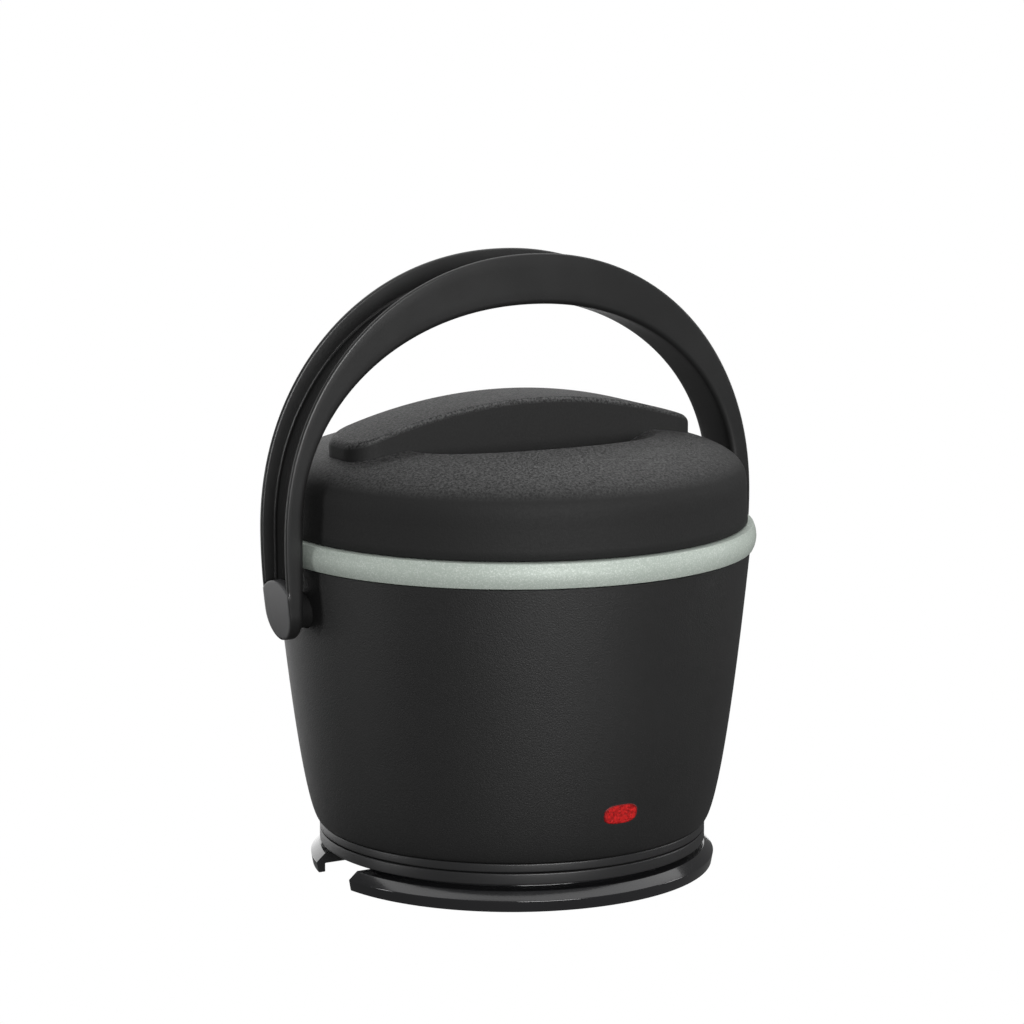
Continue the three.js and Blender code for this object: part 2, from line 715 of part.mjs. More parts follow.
function heatPlate() {
  let plate = solid(bar(PLATE_R, PLATE_Z, PLATE_Z + PLATE_T, INNER_ROUND));
  for (const x of [-STRAP_SCREW_X, STRAP_SCREW_X]) {
    const hole = bar(SCREW_R + GAP, 0, PLATE_Z + PLATE_T - 1, 12);
    plate = plate.subtract(solid(hole).translate(x, 0, 0));
  }
  return surface(plate);
}

// Sheathed element, a ring open at the back with both ends turned down.
function heaterElement() {
  const half = ELEMENT_OPEN_DEG / 2;
  const at = (deg, z) => {
    const turn = THREE.MathUtils.degToRad(90 + deg);
    return [ELEMENT_RING_R * Math.cos(turn), ELEMENT_RING_R * Math.sin(turn), z];
  };
  const ring = [];
  const stations = 16;
  for (let i = 0; i <= stations; i += 1) {
    const deg = 2 * half + (360 - 4 * half) * (i / stations);
    ring.push(at(deg, ELEMENT_Z));
  }
  const path = [
    at(half, ELEMENT_Z - ELEMENT_LEG),
    at(half, ELEMENT_Z - ELEMENT_LEG / 2),
    ...ring,
    at(-half, ELEMENT_Z - ELEMENT_LEG / 2),
    at(-half, ELEMENT_Z - ELEMENT_LEG),
  ];
  return wire(path, ELEMENT_R, 40);
}

// Strap under the thermostat and the element, held up by two screws.
function clampStrap() {
  const [halfL, halfW] = [STRAP_L / 2, STRAP_W / 2];
  let strap = solid(block([-halfL, -halfW, STRAP_Z - STRAP_T], [halfL, halfW, STRAP_Z]));
  for (const x of [-STRAP_SCREW_X, STRAP_SCREW_X]) {
    strap = strap.subtract(solid(bar(SCREW_R + GAP, 0, PLATE_Z, 12)).translate(x, 0, 0));
  }
  return surface(strap);
}

function thermalFuse() {
  const body = bar(FUSE_R, -FUSE_L / 2, FUSE_L / 2, 12).rotateY(Math.PI / 2);
  return body.translate(0, FUSE_Y, PLATE_Z - GAP - FUSE_R);
}

// Socket that hangs in the recess over the contact pins.
function cookerSocket() {
  const flangeZ = RECESS_Z + COVER_T + GAP;
  const footZ = CARRIER_Z + 2 * GAP;
  let socket = solid(turned([
    [0, footZ],
    [SOCKET_R, footZ],
    [SOCKET_R, flangeZ],
    [SOCKET_FLANGE_R, flangeZ],
    [SOCKET_FLANGE_R, SOCKET_TOP_Z],
    [0, SOCKET_TOP_Z],
  ], INNER_ROUND));
  for (const [x, y] of CONTACTS) {
    const hole = bar(CONTACT_R + CONTACT_PLAY, 0, 2 * SOCKET_TOP_Z, 12);
    socket = socket.subtract(solid(hole).translate(x, y, 0));
  }
  return surface(socket);
}

// Lead from one end of the element down to the socket.
function heaterLead(side) {
  const half = THREE.MathUtils.degToRad(ELEMENT_OPEN_DEG / 2);
  const [x, y] = [ELEMENT_RING_R * Math.sin(half), ELEMENT_RING_R * Math.cos(half)];
  const topZ = ELEMENT_Z - ELEMENT_LEG - GAP - LEAD_R;
  const endZ = SOCKET_TOP_Z + GAP;
  return wire([
    [side * x, y, topZ],
    [side * x, y - 3, topZ - 5],
    [side * 9, y / 2, (topZ + endZ) / 2],
    [side * 7, 1, endZ + 5],
    [side * 7, 0, endZ + 1],
  ], LEAD_R, 10);
}

add('heating_well', vessel({
  z: WELL_Z,
  topR: WELL_R,
  wall: WELL_WALL,
  rimZ: WELL_RIM_Z,
  rimR: BORE_R - GAP,
  rimT: WELL_WALL,
}), aluminium);
add('heat_plate', heatPlate(), aluminium);
add('heater_element', heaterElement(), steel);
add('thermostat', bar(THERMOSTAT_R, STRAP_Z + GAP, PLATE_Z - GAP), satinBlack);
add('thermal_fuse', thermalFuse(), palePlastic);
add('clamp_strap', clampStrap(), steel);
[-1, 1].forEach((side, i) => {
  const headZ = STRAP_Z - STRAP_T - GAP - SCREW_HEAD_T;
  const place = [side * STRAP_SCREW_X, 0];
  add(`strap_screw_${i + 1}`, screw(headZ, PLATE_Z + PLATE_T - 2, place), steel);
  add(`heater_lead_${i + 1}`, heaterLead(side), wireRed);
});
add('cooker_socket', cookerSocket(), satinBlack);

// ---- pilot light ----

const LENS_Y = -(shellRadius(LIGHT_Z) + LENS_PROUD);
const LENS_FOOT_R = shellRadius(LIGHT_Z - LENS_H / 2 - LENS_FLANGE) - SHELL_WALL - LENS_GAP;
const LENS_FLANGE_Y = -Math.sqrt(LENS_FOOT_R ** 2 - (LENS_W / 2 + LENS_FLANGE) ** 2);
const LENS_BACK_Y = LENS_FLANGE_Y + LENS_FLANGE;
const HOLDER_BACK_Y = LENS_BACK_Y + GAP + HOLDER_L;

// Lens that fills the shell's window, with a flange behind the wall.
function lampLens() {
  const face = roundedRectangle(LENS_W, LENS_H, LENS_CORNER);
  const flange = roundedRectangle(LENS_W + 2 * LENS_FLANGE, LENS_H + 2 * LENS_FLANGE, 1);
  const front = solid(alongY(face, LENS_Y, LENS_BACK_Y));
  const back = solid(alongY(flange, LENS_FLANGE_Y, LENS_BACK_Y));
  return surface(front.add(back).translate(0, 0, LIGHT_Z));
}

// Bracket on the shell's floor with a bore for the lamp, open towards the lens.
function lampHolder() {
  const boreR = LAMP_R + GAP;
  const frontY = LENS_BACK_Y + GAP;
  const floorZ = SHELL_Z + SHELL_WALL + GAP;
  const chin = LIGHT_Z - boreR - HOLDER_WALL;
  const brow = LIGHT_Z + boreR + HOLDER_WALL;
  const side = outline([
    [HOLDER_BACK_Y - HOLDER_FOOT_L, floorZ],
    [HOLDER_BACK_Y, floorZ],
    [HOLDER_BACK_Y, brow],
    [frontY, brow],
    [frontY, chin],
    [HOLDER_BACK_Y - HOLDER_FOOT_L, chin],
  ]);
  const bracket = solid(alongX(side, -HOLDER_W / 2, HOLDER_W / 2));
  const bore = bar(boreR, 0, HOLDER_L, 16).rotateX(Math.PI / 2);
  return surface(bracket.subtract(solid(bore.translate(0, HOLDER_BACK_Y - HOLDER_WALL, LIGHT_Z))));
}

function neonLamp() {
  const tip = LAMP_R / 2;
  const profile = [[0, 0], [LAMP_R, 0], [LAMP_R, LAMP_L - tip], [tip, LAMP_L], [0, LAMP_L]];
  const lamp = turned(profile, 16).rotateX(Math.PI / 2);
  return lamp.translate(0, HOLDER_BACK_Y - HOLDER_WALL - GAP, LIGHT_Z);
}

// Lead from the back of the holder down to the socket.
function lampLead(side) {
  const endZ = SOCKET_TOP_Z + GAP;
  const startY = HOLDER_BACK_Y + GAP;
  return wire([
    [side * 2.5, startY, LIGHT_Z],
    [side * 3, startY + 6, LIGHT_Z],
    [side * 3, startY / 2, endZ + 6],
    [side * 3, 1 - SOCKET_FLANGE_R, endZ + 6],
    [side * 3, -CONTACT_RING_R - 5, endZ + 1],
  ], LEAD_R, 10);
}

add('lamp_lens', lampLens(), lensRed);
add('lamp_holder', lampHolder(), palePlastic);
add('neon_lamp', neonLamp(), lampGlass);
[-1, 1].forEach((side, i) => add(`lamp_lead_${i + 1}`, lampLead(side), wireRed));

// ---- carry handle ----

// The arch's outer face on the right, from below the pivot up to the top.
function archOuter() {
  const footZ = PIVOT_Z - BAIL_END_W;
  const arm = [];
  const steps = 4;
  for (let i = 0; i < steps; i += 1) {
    const z = footZ + (WIDE_Z - footZ) * (i / steps);
    arm.push([ARM_OUT_X * Math.sqrt(1 - ((WIDE_Z - z) / ARM_TAPER_H) ** 2), z]);
  }
  const over = superQuarter(ARM_OUT_X, ARCH_Z - WIDE_Z, ARCH_POWER, ARCH_POWER, 16);
  return [...arm, ...over.map(([x, z]) => [x, z + WIDE_Z])];
}

// A straight face at x, then a curve over to the top, in the same order.
function archInner(x, springZ, topZ) {
  const over = superQuarter(x, topZ - springZ, ARCH_POWER, ARCH_POWER, 14);
  return [[x, PIVOT_Z - BAIL_END_W], ...over.map(([u, z]) => [u, z + springZ])];
}

// The space between two such faces, carried through the handle's whole width.
function archBetween(outer, inner) {
  const flip = ([x, z]) => [-x, z];
  const left = outer.slice(0, -1).reverse().map(flip);
  const underLeft = inner.slice(0, -1).map(flip);
  const loop = [...outer, ...left, ...underLeft, ...[...inner].reverse()];
  return solid(alongY(outline(loop), -BAIL_TOP_W, BAIL_TOP_W));
}

// The handle seen from its side: straight flanks on a round end, taken in by inset.
function bailSide(inset) {
  const endR = BAIL_END_W / 2 - inset;
  const topHalf = BAIL_TOP_W / 2 - inset;
  const side = new THREE.Shape();
  side.moveTo(-topHalf, ARCH_Z);
  side.lineTo(-endR, PIVOT_Z);
  side.absarc(0, PIVOT_Z, endR, Math.PI, 1.5 * Math.PI);
  side.absarc(0, PIVOT_Z, endR, 1.5 * Math.PI, 2 * Math.PI);
  side.lineTo(topHalf, ARCH_Z);
  return solid(alongX(side, -2 * CUP_R, 2 * CUP_R));
}

function fullArch() {
  const inner = archInner(ARM_IN_X, SPRING_Z, ARCH_Z - ARCH_T);
  return archBetween(archOuter(), inner).intersect(bailSide(0));
}

// The round-topped seat of the pivot cap, taken in by inset, from x0 out to x1.
function capSeat(side, inset, x0, x1) {
  return solid(sideBar(side, CAP_ARC_R - inset, x0, x1, CAP_Z));
}

// Arch with a channel along its outside, a seat for each cap, and the pin's holes.
function handleBail() {
  const beyond = archOuter().map(([x, z]) => [x + CHANNEL_TOP * (x / ARM_OUT_X), z + CHANNEL_TOP]);
  const floor = archInner(ARM_OUT_X - CHANNEL_ARM, WIDE_Z, ARCH_Z - CHANNEL_TOP);
  const headX = BED_X - PIN_HEAD_T - GAP;
  let cut = archBetween(beyond, floor).intersect(bailSide(FLANGE_T));
  for (const side of [-1, 1]) {
    cut = cut
      .subtract(capSeat(side, 0, 0, BED_X))
      .add(capSeat(side, 0, BED_X, 2 * CUP_R))
      .add(solid(sideBar(side, PIN_R + GAP, 0, BED_X)))
      .add(solid(sideBar(side, PIN_HEAD_R + GAP, headX, BED_X)));
  }
  return surface(fullArch().subtract(cut));
}

function pivotCap(side) {
  return surface(fullArch().intersect(capSeat(side, GAP, BED_X + GAP, 2 * CUP_R)));
}

// Pin with its head sunk in the arm, under the cap.
function pivotPin(side) {
  const shank = solid(sideBar(side, PIN_R, BOSS_IN_X + 1, BED_X - GAP));
  const head = solid(sideBar(side, PIN_HEAD_R, BED_X - PIN_HEAD_T, BED_X));
  return surface(shank.add(head));
}

function pivotInsert(side) {
  const sleeve = solid(sideBar(side, INSERT_R, BOSS_IN_X, CUP_R - GAP));
  return surface(sleeve.subtract(solid(sideBar(side, PIN_R + GAP, 0, 2 * CUP_R))));
}

add('handle_bail', handleBail(), softBlack);
for (const [name, side] of [['left', -1], ['right', 1]]) {
  add(`pivot_cap_${name}`, pivotCap(side), capGrey);
  add(`pivot_pin_${name}`, pivotPin(side), steel);
  add(`pivot_insert_${name}`, pivotInsert(side), brass);
}

// ---- food container and its lid ----

// The container's bore at the foot of its lid's skirt.
const POT_LEAN = WELL_TAPER / (POT_RIM_Z - POT_Z - WELL_CORNER);
const POT_BORE_R = POT_R - POT_WALL - POT_LEAN * POT_LID_SKIRT;
const POT_SKIRT_R = POT_BORE_R - 2 * GAP - POT_SEAL_T;

// Lid that rests on the container's rim, raised in the middle, with a knob and a vent.
function containerLid() {
  const skirtIn = POT_SKIRT_R - POT_LID_T;
  const topZ = POT_LID_Z + POT_LID_RISE + POT_LID_T;
  const lid = solid(turned([
    [skirtIn, POT_LID_Z - POT_LID_SKIRT],
    [POT_SKIRT_R, POT_LID_Z - POT_LID_SKIRT],
    [POT_SKIRT_R, POT_LID_Z],
    [POT_LID_R, POT_LID_Z],
    [POT_LID_R, POT_LID_Z + POT_LID_T],
    [skirtIn, POT_LID_Z + POT_LID_T],
    [skirtIn - POT_LID_RISE, topZ],
    [KNOB_R - 2, topZ],
    [KNOB_R, topZ + KNOB_H],
    [0, topZ + KNOB_H],
    [0, topZ - POT_LID_T],
    [skirtIn - 2 * POT_LID_RISE, topZ - POT_LID_T],
    [skirtIn - POT_LID_RISE, POT_LID_Z],
    [skirtIn, POT_LID_Z],
  ], INNER_ROUND));
  const vent = solid(bar(VENT_R, 0, 2 * topZ, 12)).translate(VENT_X, 0, 0);
  return surface(lid.subtract(vent));
}

function containerSeal() {
  const [inR, outR] = [POT_SKIRT_R + GAP, POT_BORE_R - GAP];
  const [z0, z1] = [POT_LID_Z - POT_LID_SKIRT + GAP, POT_LID_Z - GAP];
  return turned([[inR, z0], [outR, z0], [outR, z1], [inR, z1]], INNER_ROUND);
}

add('food_container', vessel({
  z: POT_Z,
  topR: POT_R,
  wall: POT_WALL,
  rimZ: POT_RIM_Z,
  rimR: POT_LID_R,
  rimT: POT_RIM_T,
}), palePlastic);
add('container_lid', containerLid(), palePlastic);
add('container_seal', containerSeal(), silicone);

// ---- outer lid ----

// The lid's dome, filled, taken in by inset.
function dome(inset) {
  const edgeR = LID_R - inset;
  const across = edgeR - LID_LEAN;
  const over = superQuarter(across, DOME_H - inset, DOME_SPREAD, DOME_FLAT, 8);
  const arc = over.map(([r, z]) => [r, DOME_Z + z]);
  return solid(turned([[0, LID_Z], [edgeR, LID_Z], ...arc], ROUND));
}

// The grip bar from height z0 up to its crown, taken in by inset.
function grip(inset, z0) {
  const half = LID_R - GRIP_INSET;
  const crownR = (half ** 2 + GRIP_DROP ** 2) / (2 * GRIP_DROP);
  const middleZ = DOME_TOP_Z + GRIP_PROUD - crownR;
  const spread = Math.asin(half / crownR);
  const crown = new THREE.Shape();
  crown.moveTo(-half, z0);
  crown.lineTo(half, z0);
  crown.absarc(0, middleZ, crownR - inset, Math.PI / 2 - spread, Math.PI / 2);
  crown.absarc(0, middleZ, crownR - inset, Math.PI / 2, Math.PI / 2 + spread);
  const plan = roundedRectangle(2 * (half - inset), GRIP_W - 2 * inset, GRIP_CORNER - inset);
  const height = DOME_TOP_Z + GRIP_PROUD - z0;
  const post = prism(plan, height).translate(0, 0, z0);
  return solid(alongY(crown, -GRIP_W, GRIP_W)).intersect(solid(post));
}

// The finger scoops in front of and behind the grip, grown by growth.
function scoops(growth) {
  const ball = new THREE.SphereGeometry(1, 24, 14).rotateX(Math.PI / 2);
  ball.scale(SCOOP_L + growth, SCOOP_W + growth, SCOOP_D + growth);
  const scoop = solid(ball.translate(0, 0, DOME_TOP_Z + SCOOP_RISE));
  return scoop.translate(0, -SCOOP_OFF, 0).add(scoop.translate(0, SCOOP_OFF, 0));
}

// Domed shell, open below, with the grip and the scoops moulded in.
function lidShell() {
  const scoopZ = DOME_TOP_Z + SCOOP_RISE - SCOOP_D - LID_T;
  const outside = dome(0).subtract(scoops(0)).add(grip(0, scoopZ + LID_T / 2));
  const inside = dome(LID_T).subtract(scoops(LID_T)).add(grip(LID_T, LID_Z));
  const mouth = solid(bar(LID_R - LID_T, LID_Z - 1, LID_Z + 1, ROUND));
  return surface(outside.subtract(inside).subtract(mouth));
}

// Inner liner with the plug that drops into the band's bore.
function lidLiner() {
  const linerR = LID_R - LID_T - LID_LEAN - GAP;
  const shelfZ = LID_Z + GAP;
  const plugZ = LID_Z - PLUG_DEEP;
  return turned([
    [PLUG_R - PLUG_WALL, plugZ],
    [PLUG_R, plugZ],
    [PLUG_R, shelfZ],
    [linerR, shelfZ],
    [linerR, LINER_Z + LINER_T],
    [0, LINER_Z + LINER_T],
    [0, LINER_Z],
    [PLUG_R - PLUG_WALL, LINER_Z],
  ], INNER_ROUND);
}

function lidSeal() {
  const inR = PLUG_R + GAP;
  const outR = inR + SEAL_T;
  const z1 = LID_Z;
  const z0 = z1 - SEAL_H + GAP;
  return turned([[inR, z0], [outR, z0], [outR, z1], [inR, z1]], INNER_ROUND);
}

add('lid_shell', lidShell(), softBlack);
add('lid_liner', lidLiner(), palePlastic);
add('lid_seal', lidSeal(), silicone);

export default cooker;
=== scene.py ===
# A personal slow cooker: a black tapered cup on a slotted power base, with a sage trim band,
# a domed lid with a grip bar, and a carry handle that swings on two side pivots. In metres.
import json

import bmesh
import bpy
import numpy as np
from mathutils import Matrix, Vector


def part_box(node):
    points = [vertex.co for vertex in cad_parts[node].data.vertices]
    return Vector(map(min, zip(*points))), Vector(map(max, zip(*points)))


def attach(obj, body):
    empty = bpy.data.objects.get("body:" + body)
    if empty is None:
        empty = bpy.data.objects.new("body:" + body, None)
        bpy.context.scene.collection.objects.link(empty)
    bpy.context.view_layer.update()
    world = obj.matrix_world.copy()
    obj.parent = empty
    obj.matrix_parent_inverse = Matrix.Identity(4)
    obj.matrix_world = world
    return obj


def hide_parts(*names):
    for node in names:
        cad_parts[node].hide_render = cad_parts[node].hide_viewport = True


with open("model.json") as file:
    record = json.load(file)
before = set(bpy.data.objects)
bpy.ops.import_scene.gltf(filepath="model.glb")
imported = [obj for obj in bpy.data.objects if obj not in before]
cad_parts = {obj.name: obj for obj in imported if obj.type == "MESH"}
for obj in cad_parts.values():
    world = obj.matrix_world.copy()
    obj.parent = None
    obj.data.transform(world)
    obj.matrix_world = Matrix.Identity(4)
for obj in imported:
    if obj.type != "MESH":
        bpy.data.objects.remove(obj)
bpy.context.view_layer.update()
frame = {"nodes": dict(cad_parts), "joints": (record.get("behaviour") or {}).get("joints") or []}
scene = bpy.context.scene


# ---- The studio ----
# A pale seamless floor under a white sky. A key softbox stands low in front, a broad one
# hangs overhead, a wide bright panel stands behind and a narrow strip on each side. The
# camera is to the front left of the handle's pivot line and looks slightly down.

CAMERA_FROM = 1.2584
CAMERA_HIGH = 0.3433
CAMERA_PITCH = 0.171
CAMERA_TURN = np.radians(30)
ROOM_GLOW = 0.12

camera_data = bpy.data.cameras.new("camera")
camera_data.lens = 127.3
camera_data.sensor_width = 36
camera = bpy.data.objects.new("camera", camera_data)
camera.location = (
    -CAMERA_FROM * np.sin(CAMERA_TURN),
    -CAMERA_FROM * np.cos(CAMERA_TURN),
    CAMERA_HIGH,
)
camera.rotation_euler = (np.pi / 2 - CAMERA_PITCH, 0, -CAMERA_TURN)
scene.collection.objects.link(camera)
scene.camera = camera
scene.view_settings.view_transform = "Standard"


def softbox(name, place, aim, width, height, power):
    """A rectangular area light at place that faces aim."""
    data = bpy.data.lights.new(name, "AREA")
    data.shape = "RECTANGLE"
    data.size, data.size_y = width, height
    data.energy = power
    light = bpy.data.objects.new(name, data)
    light.location = place
    reach = np.subtract(aim, place)
    light.rotation_euler = (
        np.arctan2(np.hypot(reach[0], reach[1]), -reach[2]),
        0,
        np.arctan2(reach[1], reach[0]) - np.pi / 2,
    )
    scene.collection.objects.link(light)


softbox("key_box", (-0.30, -1.90, 0.55), (0, 0, 0.1), 1.2, 0.7, 40)
softbox("overhead_box", (0.25, 0.30, 1.30), (0, 0, 0.1), 2.4, 1.8, 20)
softbox("backdrop_panel", (0.10, 2.20, 0.20), (0, 0, 0.1), 3.6, 1.6, 24)
softbox("left_strip", (-1.70, 0.45, 0.15), (0, 0, 0.1), 0.25, 0.8, 6)
softbox("right_strip", (1.55, -0.50, 0.40), (0, 0, 0.1), 0.4, 0.8, 5)

sky = bpy.data.worlds.new("white_sky")
sky.use_nodes = True
background = sky.node_tree.nodes["Background"]
seen = sky.node_tree.nodes.new("ShaderNodeLightPath")
glow = sky.node_tree.nodes.new("ShaderNodeMapRange")
glow.inputs["To Min"].default_value = ROOM_GLOW
glow.inputs["To Max"].default_value = 1.0
sky.node_tree.links.new(seen.outputs["Is Camera Ray"], glow.inputs["Value"])
sky.node_tree.links.new(glow.outputs["Result"], background.inputs["Strength"])
background.inputs["Color"].default_value = (1, 1, 1, 1)
scene.world = sky

bpy.ops.mesh.primitive_plane_add(size=12)
floor = bpy.context.object
floor.name = "studio_floor"
paper = bpy.data.materials.new("white_paper")
paper.use_nodes = True
tree = paper.node_tree
lit_paper = tree.nodes.new("ShaderNodeEmission")
unseen = tree.nodes.new("ShaderNodeBsdfTransparent")
shown = tree.nodes.new("ShaderNodeMixShader")
tree.links.new(tree.nodes.new("ShaderNodeLightPath").outputs["Is Camera Ray"], shown.inputs[0])
tree.links.new(unseen.outputs[0], shown.inputs[1])
tree.links.new(lit_paper.outputs[0], shown.inputs[2])
tree.links.new(shown.outputs[0], tree.nodes["Material Output"].inputs["Surface"])
floor.data.materials.append(paper)


# ---- Power base ----
# One gloss black ABS moulding: a chamfered skirt, a flat flange and a raised plateau that
# the cup stands on, with a slot for the cord cut right through it on the left.


class Value:
    """A shader socket that takes part in Python sums: each operator adds its Math node."""

    def __init__(self, socket):
        self.socket = socket

    def maths(self, operation, *terms):
        tree = self.socket.id_data
        made = tree.nodes.new("ShaderNodeMath")
        made.operation = operation
        for plug, term in zip(made.inputs, terms):
            if isinstance(term, Value):
                tree.links.new(term.socket, plug)
            else:
                plug.default_value = term
        return Value(made.outputs[0])

    def __add__(self, other):
        return self.maths("ADD", self, other)

    def __sub__(self, other):
        return self.maths("SUBTRACT", self, other)

    def __rsub__(self, other):
        return self.maths("SUBTRACT", other, self)

    def __mul__(self, other):
        return self.maths("MULTIPLY", self, other)

    def __pow__(self, other):
        return self.maths("POWER", self, other)

    __radd__ = __add__
    __rmul__ = __mul__


class Finish:
    """A material with one Principled shader. Its constants go on the shader's own sockets."""

    def __init__(self, name, **constants):
        self.material = bpy.data.materials.new(name)
        self.material.use_nodes = True
        self.tree = self.material.node_tree
        self.shader = self.tree.nodes["Principled BSDF"]
        for socket, value in constants.items():
            self.shader.inputs[socket.replace("_", " ")].default_value = value

    def node(self, kind, inputs, output=0, stops=(), **settings):
        """Adds a node: its settings and ramp stops first, then its sockets' values and links."""
        made = self.tree.nodes.new("ShaderNode" + kind)
        for setting, value in settings.items():
            setattr(made, setting, value)
        for spot, (position, grey) in enumerate(stops):
            ramp = made.color_ramp.elements
            stop = ramp[spot] if spot < 2 else ramp.new(position)
            stop.position = position
            stop.color = (grey, grey, grey, 1)
        for plug, value in inputs.items():
            if isinstance(value, Value):
                self.tree.links.new(value.socket, made.inputs[plug])
            else:
                made.inputs[plug].default_value = value
        return Value(made.outputs[output])

    def feed(self, **surfaces):
        """Links values that vary over the surface to the shader."""
        for socket, value in surfaces.items():
            self.tree.links.new(value.socket, self.shader.inputs[socket.replace("_", " ")])

    def place(self):
        """The point on the object, in metres."""
        return self.node("TexCoord", {}, output="Object")

    def noise(self, scale, detail=2.0, where=None):
        """Soft noise from 0 to 1 with this many features to the metre."""
        vector = where or self.place()
        return self.node("TexNoise", {"Vector": vector, "Scale": scale, "Detail": detail})

    def blend(self, share, first, second):
        """A colour share of the way from first to second."""
        inputs = {0: share, 6: (*first, 1), 7: (*second, 1)}
        return self.node("Mix", inputs, output=2, data_type="RGBA")

    def bump(self, height, depth):
        """A normal from a height of 0 to 1 that stands for this many metres."""
        return self.node("Bump", {"Height": height, "Distance": depth})


def gloss_black():
    """Polished black ABS with faint haze and a few soft finger marks."""
    finish = Finish("gloss_black", Coat_Weight=0.3, Coat_Roughness=0.05, IOR=1.5)
    haze = finish.noise(18, 3)
    marks = finish.noise(90, 4)
    finish.feed(
        Base_Color=finish.blend(haze, (0.010, 0.010, 0.011), (0.018, 0.018, 0.019)),
        Roughness=0.13 + 0.10 * haze * marks,
        Normal=finish.bump(finish.noise(260, 2), 0.00003),
    )
    return finish.material


def fillet(corners, radii, steps=6):
    """A closed loop of corners with each corner rounded off.

    Each corner becomes a quadratic curve that leaves one side and joins the next at the
    corner's radius, or where the side's middle is nearer."""
    corners = np.asarray(corners, float)
    radii = np.broadcast_to(np.asarray(radii, float), len(corners))
    before = np.roll(corners, 1, 0) - corners
    after = np.roll(corners, -1, 0) - corners
    length_before = np.linalg.norm(before, axis=1)
    length_after = np.linalg.norm(after, axis=1)
    reach = np.minimum(radii, 0.49 * np.minimum(length_before, length_after))[:, None]
    start = corners + before / length_before[:, None] * reach
    end = corners + after / length_after[:, None] * reach
    t = np.linspace(0, 1, steps)[None, :, None]
    curve = (1 - t) ** 2 * start[:, None] + 2 * t * (1 - t) * corners[:, None] + t**2 * end[:, None]
    return curve.reshape(-1, 2)


def grid_mesh(name, points, wraps=(True, True)):
    """A mesh over a grid of points, rows by columns, that may wrap round either way."""
    rows, columns = points.shape[:2]
    index = np.arange(rows * columns).reshape(rows, columns)
    if wraps[0]:
        index = np.vstack([index, index[:1]])
    if wraps[1]:
        index = np.hstack([index, index[:, :1]])
    corners = [index[:-1, :-1], index[:-1, 1:], index[1:, 1:], index[1:, :-1]]
    faces = np.stack(corners, -1).reshape(-1, 4)
    mesh = bpy.data.meshes.new(name)
    mesh.vertices.add(rows * columns)
    mesh.vertices.foreach_set("co", points.reshape(-1).astype(np.float32))
    mesh.loops.add(faces.size)
    mesh.loops.foreach_set("vertex_index", faces.reshape(-1).astype(np.int32))
    mesh.polygons.add(len(faces))
    mesh.polygons.foreach_set("loop_start", np.arange(0, faces.size, 4, dtype=np.int32))
    mesh.update(calc_edges=True)
    return mesh


def piece(name, mesh, body, material, crease=32, replaces=()):
    """A finished piece: doubles merged, faces out, smooth but for edges over crease degrees."""
    work = bmesh.new()
    work.from_mesh(mesh)
    bmesh.ops.remove_doubles(work, verts=work.verts, dist=1e-6)
    bmesh.ops.dissolve_degenerate(work, edges=work.edges, dist=1e-7)
    bmesh.ops.recalc_face_normals(work, faces=work.faces)
    work.to_mesh(mesh)
    work.free()
    mesh.shade_smooth()
    mesh.set_sharp_from_angle(angle=np.radians(crease))
    made = bpy.data.objects.new(name, mesh)
    scene.collection.objects.link(made)
    made.data.materials.append(material)
    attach(made, body)
    if replaces:
        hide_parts(*replaces)
    return made


def turned(name, profile, sides=256):
    """A loop of (radius, height) points turned about the upright axis."""
    turn = np.linspace(0, 2 * np.pi, sides, endpoint=False)
    radius, height = profile[:, 0, None], profile[:, 1, None]
    points = np.stack(
        [radius * np.cos(turn), radius * np.sin(turn), height + 0 * turn], -1
    )
    return grid_mesh(name, points)


def bored(made, cutter_mesh):
    """Cuts a closed mesh out of a piece."""
    cutter = bpy.data.objects.new("cutter", cutter_mesh)
    scene.collection.objects.link(cutter)
    cut = made.modifiers.new("cut", "BOOLEAN")
    cut.operation = "DIFFERENCE"
    cut.solver = "EXACT"
    cut.object = cutter
    bpy.context.view_layer.objects.active = made
    bpy.ops.object.modifier_apply(modifier="cut")
    bpy.data.objects.remove(cutter)
    made.data.shade_smooth()
    made.data.set_sharp_from_angle(angle=np.radians(32))


def box_mesh(low, high):
    """A closed box between two corners."""
    mesh = bpy.data.meshes.new("box")
    work = bmesh.new()
    bmesh.ops.create_cube(work, size=1)
    corners = np.array([vertex.co for vertex in work.verts])
    work.to_mesh(mesh)
    work.free()
    low, high = np.asarray(low), np.asarray(high)
    mesh.vertices.foreach_set("co", ((corners + 0.5) * (high - low) + low).ravel())
    return mesh


BASE_GLOSS = gloss_black()
base_low, base_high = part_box("base_ring")
base_radius = base_high.x
collar_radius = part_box("collar_ring")[1].x
flange_top = base_low.z + 0.0067
web_under = flange_top - 0.0036
roof_under = base_high.z - 0.0018
skirt_inside = base_radius - 0.0032
housing_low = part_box("base_plate")[0].z
base_profile = fillet(
    [
        (skirt_inside, base_low.z),
        (base_radius - 0.0007, base_low.z),
        (base_radius, base_low.z + 0.0039),
        (base_radius - 0.0032, flange_top),
        (collar_radius - 0.0059, flange_top),
        (collar_radius - 0.0059, base_high.z),
        (0.017, base_high.z),
        (0.017, roof_under),
        (0.028, roof_under),
        (0.028, housing_low),
        (0.0305, housing_low),
        (0.0305, web_under),
        (skirt_inside, web_under),
    ],
    [0.0003, 0.0003, 0.00025, 0.00025, 0.0003, 0.0003] + 7 * [0.0003],
)
base_ring = piece(
    "base_ring_skin",
    turned("base_ring_skin", base_profile, 320),
    "power_base",
    BASE_GLOSS,
    replaces=["base_ring"],
)
slot_inner_end = -0.033
slot_middle = 0.0028
slot_half = 0.01325
